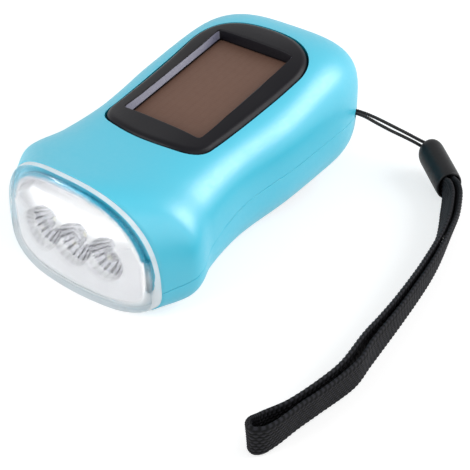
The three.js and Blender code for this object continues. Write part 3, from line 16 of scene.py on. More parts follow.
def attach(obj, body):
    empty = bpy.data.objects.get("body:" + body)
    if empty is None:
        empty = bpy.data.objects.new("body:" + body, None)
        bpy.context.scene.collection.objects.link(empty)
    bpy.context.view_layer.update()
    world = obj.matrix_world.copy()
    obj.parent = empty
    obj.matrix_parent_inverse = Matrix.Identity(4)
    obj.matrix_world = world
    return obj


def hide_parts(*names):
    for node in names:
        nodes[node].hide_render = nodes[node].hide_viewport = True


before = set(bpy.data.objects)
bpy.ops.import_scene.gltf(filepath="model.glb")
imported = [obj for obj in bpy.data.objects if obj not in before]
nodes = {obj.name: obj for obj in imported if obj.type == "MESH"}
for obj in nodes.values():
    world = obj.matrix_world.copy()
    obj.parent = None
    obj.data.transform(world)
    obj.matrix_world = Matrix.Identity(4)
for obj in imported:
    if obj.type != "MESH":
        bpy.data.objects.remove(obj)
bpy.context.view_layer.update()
scene = bpy.context.scene

MM = 0.001

# Body, as in the part
BODY_LENGTH = 105.0
BODY_WIDTH = 58.8
BODY_HEIGHT = 38.4
HALF_BODY = BODY_LENGTH / 2
WALL = 2.0
FOOT_CUT = 0.4
BASE_EDGE = 0.22
REAR_CENTRE_Z = 17.2
LENS_DEPTH = 3.3
LENS_WALL = 1.3
RIM_BOW = 3.9
FRONT_LIP = 3.4
LIP_THICKNESS = 2.0
RIM_Y = LENS_DEPTH - HALF_BODY
STATION_SHARES = (0, 0.08, 0.2, 0.36, 0.55, 0.75, 1)
WIDTH_SHARES = (0.844, 1, 0.905, 0.844, 0.898, 0.891, 0.871)
TOP_SHARES = (0.914, 0.877, 0.852, 0.86, 0.914, 1, 0.974)
MIDDLE_SHARES = (0.25, 0.32, 0.35, 0.405, 0.46, 0.47, 0.466)
PARTING_SHARES = (0.18, 0.245, 0.338, 0.405, 0.432, 0.432, 0.385)
FRONT_ROUNDNESS = 2.4
REAR_ROUNDNESS = 3.5
LOWER_ROUNDNESS = 3.35
FULL_ROUND_SHARE = 0.4
BOW_SHARE = 0.25
SIDE_CLOSING = (0.73, 2.47, 2.65)
TOP_CLOSING = (0.74, 2.83, 1.85)
BOTTOM_CLOSING = (0.84, 2.6, 2.0)
RIM_HALF_WIDTH = BODY_WIDTH / 2 * WIDTH_SHARES[0]
RIM_TOP = BODY_HEIGHT * TOP_SHARES[0]

# Camera
CAMERA_AZIMUTH = 38.17
CAMERA_ELEVATION = 37.58
CAMERA_ROLL = -0.83
CAMERA_DISTANCE = 300.58
CAMERA_TARGET = (17.42, -7.89, -0.5)
CAMERA_LENS = 86.58
SENSOR_WIDTH = 36.0


def direction(azimuth, elevation):
    """From the part outwards, the azimuth in degrees from the lamp end towards +X."""
    azimuth, elevation = math.radians(azimuth), math.radians(elevation)
    return Vector((
        math.sin(azimuth) * math.cos(elevation),
        -math.cos(azimuth) * math.cos(elevation),
        math.sin(elevation),
    ))


def make_camera():
    """The photograph's viewing angle and frame."""
    azimuth = math.radians(CAMERA_AZIMUTH)
    roll = math.radians(CAMERA_ROLL)
    back = direction(CAMERA_AZIMUTH, CAMERA_ELEVATION)
    level = Vector((math.cos(azimuth), math.sin(azimuth), 0))
    upright = back.cross(level)
    right = math.cos(roll) * level + math.sin(roll) * upright
    up = math.cos(roll) * upright - math.sin(roll) * level
    data = bpy.data.cameras.new("camera")
    data.sensor_width = SENSOR_WIDTH
    data.lens = CAMERA_LENS
    camera = bpy.data.objects.new("camera", data)
    scene.collection.objects.link(camera)
    place = (Vector(CAMERA_TARGET) + back * CAMERA_DISTANCE) * MM
    camera.matrix_world = Matrix((
        (right.x, up.x, back.x, place.x),
        (right.y, up.y, back.y, place.y),
        (right.z, up.z, back.z, place.z),
        (0, 0, 0, 1),
    ))
    scene.camera = camera


make_camera()


# The body's surface, the same formula as the part's
def along_body(shares, place):
    stations = np.array(STATION_SHARES, float)
    values = np.array(shares, float)
    at = np.clip(place, 0, 1)
    k = np.clip(np.searchsorted(stations, at, side="left") - 1, 0, len(stations) - 2)
    before = np.maximum(np.arange(len(stations)) - 1, 0)
    after = np.minimum(np.arange(len(stations)) + 1, len(stations) - 1)
    slope = (values[after] - values[before]) / (stations[after] - stations[before])
    span = stations[k + 1] - stations[k]
    t = (at - stations[k]) / span
    blend = t * t * (3 - 2 * t)
    leave = t * (1 - t) ** 2 * span
    arrive = t * t * (t - 1) * span
    return values[k] * (1 - blend) + values[k + 1] * blend + slope[k] * leave + slope[k + 1] * arrive


def closing(rule, place):
    start, rise, fall = rule
    t = np.clip((place - start) / (1 - start), 0, 1)
    return (1 - t**rise) ** (1 / fall)


def rim_bow(x):
    return RIM_BOW * (x / RIM_HALF_WIDTH) ** 2


def signed_power(value, power):
    return np.sign(value) * np.abs(value) ** power


def upper_roundness(place):
    share = np.minimum(1, place / FULL_ROUND_SHARE)
    return FRONT_ROUNDNESS + (REAR_ROUNDNESS - FRONT_ROUNDNESS) * share


def section_sizes(place, inset):
    """Half width, centre height, rise and drop of the section at a place along the body."""
    side = closing(SIDE_CLOSING, place)
    top = closing(TOP_CLOSING, place)
    bottom = closing(BOTTOM_CLOSING, place)
    middle = BODY_HEIGHT * along_body(MIDDLE_SHARES, place)
    half_width = (BODY_WIDTH / 2 * along_body(WIDTH_SHARES, place) - inset) * side
    rise = (BODY_HEIGHT * along_body(TOP_SHARES, place) - middle - inset) * top
    drop = (middle + FOOT_CUT - inset) * bottom
    upper_centre = middle * top + REAR_CENTRE_Z * (1 - top)
    lower_centre = middle * bottom + REAR_CENTRE_Z * (1 - bottom)
    return half_width, upper_centre, rise, lower_centre, drop


def body_points(place, angle, inset=0.0):
    half_width, upper_centre, rise, lower_centre, drop = section_sizes(place, inset)
    up = np.sin(angle) >= 0
    power = 2 / np.where(up, upper_roundness(place), LOWER_ROUNDNESS)
    x = half_width * signed_power(np.cos(angle), power)
    high = signed_power(np.sin(angle), power)
    z = np.where(up, upper_centre + rise * high, lower_centre + drop * high)
    fade = np.maximum(0, 1 - place / BOW_SHARE)
    y = RIM_Y + (HALF_BODY - inset - RIM_Y) * place + rim_bow(x) * fade
    return np.stack([x, y, z], axis=-1)


def place_at(y):
    return (y - RIM_Y) / (HALF_BODY - RIM_Y)


def roof_height(x, y):
    """Height of the upper surface over a point of the plan."""
    place = place_at(y)
    half_width, centre, rise, _, _ = section_sizes(place, 0)
    n = upper_roundness(place)
    return centre + rise * np.maximum(0, 1 - np.abs(x / half_width) ** n) ** (1 / n)


def soft_floor(z):
    """The flat base meets the sides in a small round edge."""
    return (z + np.sqrt(z * z + BASE_EDGE**2)) / 2


def base_height(x, y):
    place = place_at(y)
    half_width, _, _, centre, drop = section_sizes(place, 0)
    n = LOWER_ROUNDNESS
    return soft_floor(centre - drop * np.maximum(0, 1 - np.abs(x / half_width) ** n) ** (1 / n))


# Points
def full_turn(count, start=0.0):
    return np.linspace(start, start + 2 * math.pi, count, endpoint=False)


def lengths_along(points):
    return np.concatenate([[0], np.cumsum(np.linalg.norm(np.diff(points, axis=0), axis=1))])


def at_lengths(wanted, lengths, points):
    return np.stack([np.interp(wanted, lengths, points[:, i]) for i in range(points.shape[1])], axis=-1)


def resample(points, spacing):
    lengths = lengths_along(points)
    count = max(2, int(round(lengths[-1] / spacing)) + 1)
    return at_lengths(np.linspace(0, lengths[-1], count), lengths, points)


def resample_closed(closed, samples):
    lengths = lengths_along(closed)
    return at_lengths(np.linspace(0, lengths[-1], samples, endpoint=False), lengths, closed)


def tangents_of(points):
    t = np.gradient(points, axis=0)
    return t / np.linalg.norm(t, axis=1)[:, None]


# Meshes
def make_object(name, points, faces, sharp_angle=40.0):
    mesh = bpy.data.meshes.new(name)
    mesh.from_pydata((np.asarray(points, float) * MM).tolist(), [], faces)
    mesh.polygons.foreach_set("use_smooth", [True] * len(mesh.polygons))
    mesh.set_sharp_from_angle(angle=math.radians(sharp_angle))
    mesh.update()
    obj = bpy.data.objects.new(name, mesh)
    scene.collection.objects.link(obj)
    return obj


def grid_faces(rows, columns, closed_columns=True, closed_rows=False):
    faces = []
    for r in range(rows if closed_rows else rows - 1):
        below = r * columns
        above = (r + 1) % rows * columns
        for c in range(columns if closed_columns else columns - 1):
            d = (c + 1) % columns
            faces.append((below + c, below + d, above + d, above + c))
    return faces


def loft(name, rings, caps=(True, True), closed_rows=False, sharp_angle=40.0):
    """A closed body through rings of equal length, each end closed by a fan."""
    rings = np.asarray(rings, float)
    rows, columns = rings.shape[:2]
    points = rings.reshape(-1, 3).tolist()
    faces = grid_faces(rows, columns, closed_rows=closed_rows)
    for end, wanted in enumerate(caps):
        if wanted and not closed_rows:
            ring = (rows - 1) * columns if end else 0
            apex = len(points)
            points.append(rings[-1 if end else 0].mean(axis=0).tolist())
            for c in range(columns):
                a, b = ring + c, ring + (c + 1) % columns
                faces.append((a, b, apex) if end else (b, a, apex))
    obj = make_object(name, points, faces, sharp_angle)
    face_outward(obj)
    return obj


def face_outward(obj):
    body = bmesh.new()
    body.from_mesh(obj.data)
    bmesh.ops.remove_doubles(body, verts=body.verts, dist=1e-7)
    bmesh.ops.recalc_face_normals(body, faces=body.faces)
    body.to_mesh(obj.data)
    body.free()


def circle(x, y, radius, sides=96):
    angles = full_turn(sides)
    return np.column_stack([x + radius * np.cos(angles), y + radius * np.sin(angles)])


def lathe(name, x, y, profile, sides=96, sharp_angle=40.0):
    """A turned piece on a vertical axis, from pairs of radius and height that close on themselves."""
    rings = []
    for radius, height in profile:
        rings.append(np.column_stack([circle(x, y, radius, sides), np.full(sides, float(height))]))
    on_axis = profile[0][0] == 0 and profile[-1][0] == 0
    return loft(name, rings, caps=(False, False), closed_rows=not on_axis, sharp_angle=sharp_angle)


def boolean(target, cutters):
    """Applies exact boolean cuts to a mesh and removes the cutters."""
    for cutter in cutters:
        modifier = target.modifiers.new("cut", "BOOLEAN")
        modifier.operation = "DIFFERENCE"
        modifier.solver = "EXACT"
        modifier.object = cutter
    bpy.context.view_layer.update()
    depsgraph = bpy.context.evaluated_depsgraph_get()
    result = bpy.data.meshes.new_from_object(target.evaluated_get(depsgraph))
    target.modifiers.clear()
    old = target.data
    target.data = result
    bpy.data.meshes.remove(old)
    for cutter in cutters:
        bpy.data.objects.remove(cutter)


def copy_shape(obj):
    """The mesh's surface and its smooth normals, before it is cut."""
    mesh = obj.data
    points = [v.co.copy() for v in mesh.vertices]
    normals = [v.normal.copy() for v in mesh.vertices]
    polygons = [tuple(p.vertices) for p in mesh.polygons]
    return points, normals, polygons


def keep_normals(obj, shape, reach=0.02, least_dot=0.8):
    """Gives the faces that still lie on the old surface that surface's own normals."""
    points, normals, polygons = shape
    tree = BVHTree.FromPolygons(points, polygons)
    mesh = obj.data
    corner_normals = [corner.vector.copy() for corner in mesh.corner_normals]
    for polygon in mesh.polygons:
        for loop in polygon.loop_indices:
            co = mesh.vertices[mesh.loops[loop].vertex_index].co
            near, _, index, distance = tree.find_nearest(co)
            if near is None or distance > reach * MM:
                continue
            corners = polygons[index]
            weights = [1 / ((points[v] - near).length + 1e-7) for v in corners]
            mixed = Vector((0, 0, 0))
            for weight, v in zip(weights, corners):
                mixed += normals[v] * weight
            mixed.normalize()
            if mixed.dot(polygon.normal) > least_dot:
                corner_normals[loop] = mixed
    mesh.normals_split_custom_set([tuple(n) for n in corner_normals])


# Routes: the same points as the part's, smoothed the same way
def catmull_rom(points, samples):
    """Centripetal curve through the points, sampled evenly over its parameter."""
    points = np.asarray(points, float)
    count = len(points)
    ahead = np.vstack([2 * points[0] - points[1], points, 2 * points[-1] - points[-2]])
    result = []
    for t in np.linspace(0, 1, samples):
        at = t * (count - 1)
        k = min(int(at), count - 2)
        w = at - k
        p0, p1, p2, p3 = ahead[k:k + 4]
        d0, d1, d2 = (max(np.linalg.norm(b - a), 1e-4) ** 0.5 for a, b in ((p0, p1), (p1, p2), (p2, p3)))
        t1 = ((p1 - p0) / d0 - (p2 - p0) / (d0 + d1) + (p2 - p1) / d1) * d1
        t2 = ((p2 - p1) / d1 - (p3 - p1) / (d1 + d2) + (p3 - p2) / d2) * d1
        result.append(
            p1 + w * t1
            + w * w * (-3 * p1 + 3 * p2 - 2 * t1 - t2)
            + w * w * w * (2 * p1 - 2 * p2 + t1 + t2)
        )
    return np.array(result)


def route_length(points):
    return float(np.linalg.norm(np.diff(points, axis=0), axis=1).sum())


# Colours are written as sRGB and turned into linear light.
def linear(colour):
    result = []
    for k in (0, 2, 4):
        value = int(colour.lstrip("#")[k:k + 2], 16) / 255
        result.append(value / 12.92 if value <= 0.04045 else ((value + 0.055) / 1.055) ** 2.4)
    return (*result, 1.0)


# Between these the noise's values mostly lie.
NOISE_LOW = 0.3
NOISE_HIGH = 0.7
STRIPE_START = 0.75


class Paint:
    """A node material round one Principled shader, in object coordinates."""

    def __init__(self, name, colour, roughness=0.5, metallic=0.0, **sockets):
        self.material = bpy.data.materials.new(name)
        self.material.use_nodes = True
        self.tree = self.material.node_tree
        self.shader = self.tree.nodes["Principled BSDF"]
        self.colour = linear(colour)
        self.shader.inputs["Base Color"].default_value = self.colour
        self.shader.inputs["Roughness"].default_value = roughness
        self.shader.inputs["Metallic"].default_value = metallic
        for socket, value in sockets.items():
            self.shader.inputs[socket.replace("_", " ")].default_value = value
        self.coordinates = self.node("ShaderNodeTexCoord").outputs["Object"]

    def node(self, kind, **settings):
        node = self.tree.nodes.new(kind)
        for key, value in settings.items():
            setattr(node, key, value)
        return node

    def link(self, output, target):
        self.tree.links.new(output, target)
        return self

    def noise(self, scale, detail=2.0, stretch=(1, 1, 1)):
        mapping = self.node("ShaderNodeMapping")
        mapping.inputs["Scale"].default_value = stretch
        self.link(self.coordinates, mapping.inputs["Vector"])
        texture = self.node("ShaderNodeTexNoise")
        texture.inputs["Scale"].default_value = scale
        texture.inputs["Detail"].default_value = detail
        self.link(mapping.outputs["Vector"], texture.inputs["Vector"])
        return texture.outputs["Fac"]

    def spread(self, factor, low, high):
        return self.scaled(factor, NOISE_LOW, NOISE_HIGH, low, high)

    def mottle(self, other, scale, amount=0.5):
        """Colour that wanders between the base and another one."""
        mix = self.node("ShaderNodeMix", data_type="RGBA")
        self.link(self.spread(self.noise(scale), 0.0, amount), mix.inputs["Factor"])
        mix.inputs["A"].default_value = self.colour
        mix.inputs["B"].default_value = linear(other)
        self.link(mix.outputs["Result"], self.shader.inputs["Base Color"])
        return self

    def over(self, other, factor):
        """Another colour laid over the present one where the factor is high."""
        mix = self.node("ShaderNodeMix", data_type="RGBA")
        self.link(factor, mix.inputs["Factor"])
        base = self.shader.inputs["Base Color"]
        self.link(base.links[0].from_socket, mix.inputs["A"])
        mix.inputs["B"].default_value = linear(other)
        return self.link(mix.outputs["Result"], base)

    def scaled(self, value, start, end, low=0.0, high=1.0):
        ramp = self.node("ShaderNodeMapRange")
        for socket, number in zip(("From Min", "From Max", "To Min", "To Max"), (start, end, low, high)):
            ramp.inputs[socket].default_value = number
        self.link(value, ramp.inputs["Value"])
        return ramp.outputs["Result"]

    def raised(self, other, start, end):
        """Another colour where the mesh's own "raised" value is high."""
        value = self.node("ShaderNodeAttribute", attribute_name="raised")
        return self.over(other, self.scaled(value.outputs["Fac"], start, end))

    def stripes(self, other, scale, direction, amount):
        """Faint even lines across the given axis."""
        wave = self.node("ShaderNodeTexWave", bands_direction=direction)
        wave.inputs["Scale"].default_value = scale
        self.link(self.coordinates, wave.inputs["Vector"])
        return self.over(other, self.scaled(wave.outputs["Fac"], STRIPE_START, 1.0, 0.0, amount))

    def fade(self, other, direction, start, end):
        """Another colour that comes in along a direction, between two distances in metres."""
        along = self.node("ShaderNodeVectorMath", operation="DOT_PRODUCT")
        self.link(self.coordinates, along.inputs[0])
        along.inputs[1].default_value = direction
        return self.over(other, self.scaled(along.outputs["Value"], start, end))

    def rough(self, low, high, scale, stretch=(1, 1, 1)):
        value = self.spread(self.noise(scale, stretch=stretch), low, high)
        return self.link(value, self.shader.inputs["Roughness"])

    def grain(self, scale, strength, distance=0.0001, stretch=(1, 1, 1)):
        bump = self.node("ShaderNodeBump")
        bump.inputs["Strength"].default_value = strength
        bump.inputs["Distance"].default_value = distance
        self.link(self.noise(scale, 3.0, stretch), bump.inputs["Height"])
        self.link(bump.outputs["Normal"], self.shader.inputs["Normal"])
        return self


SHELL = (
    Paint("shell_blue", "#22c0dd", 0.39, IOR=1.66, Specular_IOR_Level=0.95).mottle("#2ac2df", 40)
    .rough(0.34, 0.43, 900).grain(4200, 0.05)
)
BEZEL = (
    Paint("bezel_black", "#121116", 0.33, Specular_IOR_Level=0.14).mottle("#0f0e13", 120)
    .rough(0.28, 0.38, 1500).grain(3600, 0.06)
)
# Lighter grey-lavender for the frame's side slopes: a painted reflection of the bright surroundings.
SLOPE_PAINTED_REFLECTION = (
    Paint("bezel_slope_painted_reflection", "#6c6c80", 0.34, Specular_IOR_Level=0.5).mottle("#636377", 120)
    .rough(0.26, 0.36, 1500)
)
CELL = (
    Paint("cell_brown", "#6b5044", 0.45, Specular_IOR_Level=0.2).mottle("#705548", 500)
    .stripes("#60473c", 150, "X", 0.2).stripes("#765a4c", 420, "Y", 0.25).rough(0.4, 0.5, 900)
)
CLEAR = (
    Paint("lens_clear", "#f6f9fb", 0.05, IOR=1.49, Transmission_Weight=1.0, Alpha=0.3)
    .rough(0.02, 0.07, 700)
)
# A more opaque white band on the lens's shoulder: a painted highlight along its edge.
LENS_EDGE_PAINTED_HIGHLIGHT = (
    Paint("lens_edge_painted_highlight", "#eef3f6", 0.2, IOR=1.49, Transmission_Weight=0.1, Alpha=0.75)
    .rough(0.08, 0.16, 700)
)
MIRROR = Paint("reflector_plate", "#dfe0e4", 0.32, 0.3).mottle("#e4e5e8", 90).rough(0.28, 0.38, 1200)
# Whiter than the plate on the bowl, the pocket mouths and the plate's rim: a painted highlight; the greyer
# fade towards the top is painted shade.
BOWL_PAINTED_HIGHLIGHT_AND_SHADE = (
    Paint("reflector_bowl_painted_highlight_and_shade", "#fafafb", 0.22, 0.35).mottle("#f4f5f6", 90)
    .fade("#b9bbc4", (-0.25, 0, 1), 0.0235, 0.032).rough(0.16, 0.26, 600)
)
POCKET_MIRROR = (
    Paint("reflector_pocket", "#e6e7ec", 0.16, 0.6).mottle("#bdbfc8", 300).rough(0.1, 0.2, 900)
)
# Dark grey in the bottoms of the pockets' flutes: a painted dark reflection.
FLUTE_SHADE = (
    Paint("reflector_flute_painted_dark_reflection", "#45464d", 0.2, 0.9).mottle("#6d6f77", 400).rough(0.14, 0.26, 900)
)
# The plate's rim shoulder, turning teal towards the top: the blue shell seen through the lens, a painted
# refraction.
EDGE_MIRROR_PAINTED_REFRACTION = (
    Paint("reflector_edge_painted_refraction", "#c4ced3", 0.3, 0.3).mottle("#b9c6cc", 200)
    .fade("#0492ae", (0, 0, 1), 0.013, 0.018).rough(0.24, 0.36, 900)
)
LED_CLEAR = (
    Paint("lamp_clear", "#f2f5f8", 0.04, IOR=1.5, Transmission_Weight=1.0, Alpha=0.45)
    .rough(0.02, 0.06, 900)
)
LEAD = Paint("lead_frame", "#7c7d80", 0.35, 0.9).mottle("#6a6b6e", 700).rough(0.28, 0.45, 1500)
PHOSPHOR = Paint("lamp_phosphor", "#c6c3a4", 0.55).mottle("#d2cfb4", 1500).grain(6000, 0.1)
WHITE = (
    Paint("crank_white", "#dfe2e4", 0.42).mottle("#d9dde0", 90).rough(0.36, 0.48, 1200)
    .grain(4000, 0.05)
)
BLACK = (
    Paint("knob_black", "#2c2b2e", 0.42).mottle("#262528", 200).rough(0.36, 0.5, 1500)
    .grain(4000, 0.08)
)
STEEL = (
    Paint("steel", "#a4a8ab", 0.3, 1.0).mottle("#8f9396", 300).rough(0.22, 0.4, 700, (1, 1, 8))
    .grain(3000, 0.05)
)
BRASS = Paint("brass", "#b79a55", 0.3, 1.0).mottle("#a58745", 400).rough(0.24, 0.4, 900)
COPPER = (
    Paint("coil_copper", "#a8602f", 0.35, 0.7).mottle("#8c4a20", 900)
    .grain(2500, 0.3, stretch=(1, 1, 12))
)
MAGNET = Paint("magnet_grey", "#4b4c50", 0.55, 0.2).mottle("#3e3f43", 800).grain(3500, 0.2)
BOARD = (
    Paint("board_green", "#2c6a44", 0.45).mottle("#265e3b", 300).rough(0.38, 0.52, 900)
    .grain(2600, 0.1)
)
CAN = Paint("capacitor_blue", "#1f2a44", 0.4).mottle("#1a2339", 500).rough(0.32, 0.46, 900)
RED = Paint("wire_red", "#b3282d", 0.45).mottle("#a02026", 700).rough(0.38, 0.52, 900)
RUBBER = Paint("wire_black", "#242325", 0.55).mottle("#1e1d1f", 700).rough(0.45, 0.62, 900)
CORD = (
    Paint("cord_black", "#161618", 0.6, Sheen_Weight=0.05, Sheen_Roughness=0.5, Specular_IOR_Level=0.3)
    .mottle("#101012", 1800)
)
# The raised tops of the weave are painted lighter grey: a painted highlight on the threads.
WEBBING = (
    Paint("webbing_black", "#08090a", 0.6, Sheen_Weight=0.01, Sheen_Roughness=0.4, Specular_IOR_Level=0.1)
    .mottle("#050506", 900).raised("#28282d", 0.35, 0.9).grain(5200, 0.35, 0.00008)
)
SLEEVE = (
    Paint("ferrule_black", "#0c0d10", 0.42, Specular_IOR_Level=0.25).mottle("#121316", 500)
    .rough(0.36, 0.5, 1500).grain(3200, 0.12)
)

# The nodes of each paint; any other node is steel.
NODE_PAINTS = (
    (SHELL, "upper_shell lower_shell"),
    (CLEAR, "front_lens"),
    (MIRROR, "reflector"),
    (LED_CLEAR, "lamp_left lamp_middle lamp_right"),
    (BOARD, "lamp_board control_board"),
    (BEZEL, "solar_bezel"),
    (CELL, "solar_panel"),
    (WHITE, "crank_hub crank_arm crank_gear idler_gear_1 idler_gear_2"),
    (BLACK, "crank_knob push_button gear_base_plate gear_cover_plate cell_holder switch_body"),
    (COPPER, "coil_bobbin"),
    (MAGNET, "rotor_magnet"),
    (BRASS, "rotor_pinion"),
    (CAN, "capacitor"),
    (RED, "switch_plunger panel_wire_red lamp_wire_red"),
    (RUBBER, "panel_wire_black lamp_wire_black"),
    (CORD, "strap_string"),
    (SLEEVE, "strap_ferrule"),
    (WEBBING, "strap_webbing"),
)


def dress(obj, paint):
    obj.data.materials.clear()
    obj.data.materials.append(paint.material)
    return obj


node_paints = {name: paint for paint, names in NODE_PAINTS for name in names.split()}
for node_name, node in nodes.items():
    dress(node, node_paints.get(node_name, STEEL))

# Strap: a thin cord looped round the anchor post, a sleeve, and a folded band
STRING_DIAMETER = 1.0
WEBBING_WIDTH = 10.0
WEBBING_THICKNESS = 1.2
FERRULE_HALF_WIDTH = 3.7
FERRULE_HALF_HEIGHT = 4.4
FERRULE_Z = FERRULE_HALF_HEIGHT + 0.05
FERRULE_LIFT = 2.05
FERRULE_REAR = np.array([42.3, 49.6, FERRULE_Z + FERRULE_LIFT])
FERRULE_MOUTH = np.array([54.9, 39.4, FERRULE_Z])
STRING_ROUTE = (
    (41.8, 50.1, 7.5), (39.6, 49.2, 8.4), (36, 47.6, 10.2), (31.9, 45.6, 12.3), (28.4, 43.7, 14.2),
    (25.4, 42.3, 15.4), (22.4, 41.35, 15.9), (20.2, 41, 15.9), (18.2, 41, 15.9), (16.9, 39.9, 15.9),
    (16.7, 38.4, 15.9), (17.9, 37.3, 15.9), (19.6, 37.6, 15.9), (21.4, 38.9, 15.9), (23, 39.95, 15.9),
    (25.8, 41.2, 15.1), (28.9, 42.9, 13.2), (32.4, 45, 11), (36, 47.1, 9), (38.8, 48.5, 7.5),
    (41.3, 49.6, 6.1),
)
BAND_REST = 0.05
# Across and along, outward lean in degrees, and width as a share
BAND_ROUTE = (
    (53.4, 41.8, 0, 0.56), (55.5, 40, 0, 0.62), (57, 37.9, 4, 0.8), (58.6, 35.7, 9, 0.94),
    (60.9, 31.5, 14, 1), (64.2, 24.2, 14, 1), (66.4, 17.5, 11, 1), (69.2, 5.5, 9, 1),
    (71.8, -13.1, 9, 1), (73.4, -30.1, 6, 1), (74.3, -37.5, 8, 1), (72.6, -49.8, 12, 1),
    (71.5, -55.5, 11, 1), (70.5, -62.4, 10, 1), (69.4, -65.8, 9, 1), (67.7, -67, 8, 1),
    (66.2, -66, 2, 1), (66.4, -63.6, -6, 1), (69, -56, -11, 1), (71, -45.3, -11, 1),
    (71.4, -39.6, -11, 1), (70.3, -28.7, -11, 1), (70.1, -21.5, -11, 1), (69.5, -13.2, -12, 1),
    (67.9, 0.7, -12, 1), (65.4, 14, -13, 1), (63.1, 21.7, -14, 1), (59.3, 30.3, -14, 1),
    (57.1, 34.2, -9, 0.94), (55.6, 36.5, -4, 0.8), (54.65, 37.8, 0, 0.64), (53.8, 38.75, 0, 0.56),
    (52.3, 40.35, 0, 0.54),
)
BRAID_PITCH = 1.3
BRAID_DEPTH = 0.05
STRING_SIDES = 16
STRING_SPACING = 0.12
STRING_SAMPLES = 600


def string_piece():
    """The cord, with the shallow crossing ridges of its braid."""
    route = resample(catmull_rom(STRING_ROUTE, STRING_SAMPLES), STRING_SPACING)
    ahead = tangents_of(route)
    angles = full_turn(STRING_SIDES)
    side = np.cross(ahead[0], (0, 0, 1))
    rings = []
    run = 0.0
    for k, (point, direction) in enumerate(zip(route, ahead)):
        side = side - direction * side.dot(direction)
        side /= np.linalg.norm(side)
        top = np.cross(direction, side)
        if k:
            run += np.linalg.norm(point - route[k - 1])
        turn = 2 * math.pi * run / BRAID_PITCH
        ridge = np.cos(3 * angles + turn) * np.cos(3 * angles - turn)
        radius = STRING_DIAMETER / 2 - BRAID_DEPTH + BRAID_DEPTH * ridge
        around = np.cos(angles)[:, None] * side + np.sin(angles)[:, None] * top
        rings.append(point + radius[:, None] * around)
    piece = dress(loft("cord_braided", rings), CORD)
    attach(piece, "case")
    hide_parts("strap_string")
    return piece, route


FERRULE_SHARES = ((0, 0.5), (0.04, 0.78), (0.11, 0.93), (0.22, 1), (0.9, 1), (1, 0.97))
RECESS_DEPTH = 3.0
RECESS_HALF_WIDTH = 2.9
RECESS_HALF_HEIGHT = 3.5
FERRULE_SIDES = 72
MOUTH_ROUND = 0.35
RIM_SHARE = 0.98
REAR_DOME = 0.22
DOME_POWER = 2.6


def sleeve_ring(place, half_width, half_height, power):
    axis = FERRULE_MOUTH - FERRULE_REAR
    across = np.array([-axis[1], axis[0], 0]) / np.hypot(axis[0], axis[1])
    angles = full_turn(FERRULE_SIDES)
    side = half_width * signed_power(np.cos(angles), power)
    high = half_height * signed_power(np.sin(angles), power)
    return FERRULE_REAR + axis * place + side[:, None] * across + high[:, None] * np.array([0, 0, 1.0])


def ferrule_piece():
    """The moulded sleeve: a rounded rear end, a plain barrel and an open mouth with a soft rim."""
    length = float(np.linalg.norm(FERRULE_MOUTH - FERRULE_REAR))
    places = np.array([p for p, _ in FERRULE_SHARES])
    sizes = np.array([s for _, s in FERRULE_SHARES])
    rings = []
    rear = 1 - np.cos(np.linspace(0.12, math.pi / 2, 14))
    for t in np.concatenate([rear * REAR_DOME, np.linspace(0.24, 0.96, 14)]):
        size = np.interp(t, places, sizes)
        if t < REAR_DOME:
            size = 0.5 + 0.5 * math.sqrt(max(0.0, 1 - (1 - t / REAR_DOME) ** DOME_POWER))
        rings.append(sleeve_ring(t, FERRULE_HALF_WIDTH * size, FERRULE_HALF_HEIGHT * size, 1))
    rim = MOUTH_ROUND / length
    for k in range(5):
        turn = k * math.pi / 8
        shrink = MOUTH_ROUND * (1 - math.cos(turn))
        place = 1 - rim + rim * math.sin(turn)
        half_width = FERRULE_HALF_WIDTH * RIM_SHARE - shrink
        rings.append(sleeve_ring(place, half_width, FERRULE_HALF_HEIGHT * RIM_SHARE - shrink, 1))
    floor = 1 - RECESS_DEPTH / length
    recess = ((1, 0.15, 0.8), (1 - rim, 0, 0.72), ((1 + floor) / 2, 0, 2 / 3), (floor, 0, 2 / 3))
    for place, grow, power in recess:
        rings.append(sleeve_ring(place, RECESS_HALF_WIDTH + grow, RECESS_HALF_HEIGHT + grow, power))
    piece = dress(loft("ferrule_sleeve", rings, sharp_angle=50), SLEEVE)
    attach(piece, "case")
    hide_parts("strap_ferrule")
    return piece


WEAVE_ACROSS = 8
WEAVE_PITCH = 1.4
WEAVE_DEPTH = 0.34
WEAVE_PROUD = 0.2
EDGE_DEPTH = 0.05
FACE_COLUMNS = 46
EDGE_COLUMNS = 5
BAND_SPACING = 0.32
BAND_SAMPLES = 2400
RIB_POWER = 0.6


def band_section():
    """Places round the band's section: side (-1 to 1), height (-1 to 1) and which face it is on."""
    columns = []
    for face in (1, -1):
        for k in range(FACE_COLUMNS):
            columns.append((face, face * (1 - 2 * (k + 0.5) / FACE_COLUMNS), True))
        for k in range(EDGE_COLUMNS):
            turn = math.pi * (k + 1) / (EDGE_COLUMNS + 1)
            columns.append((face * math.cos(turn), -face, False))
    return columns


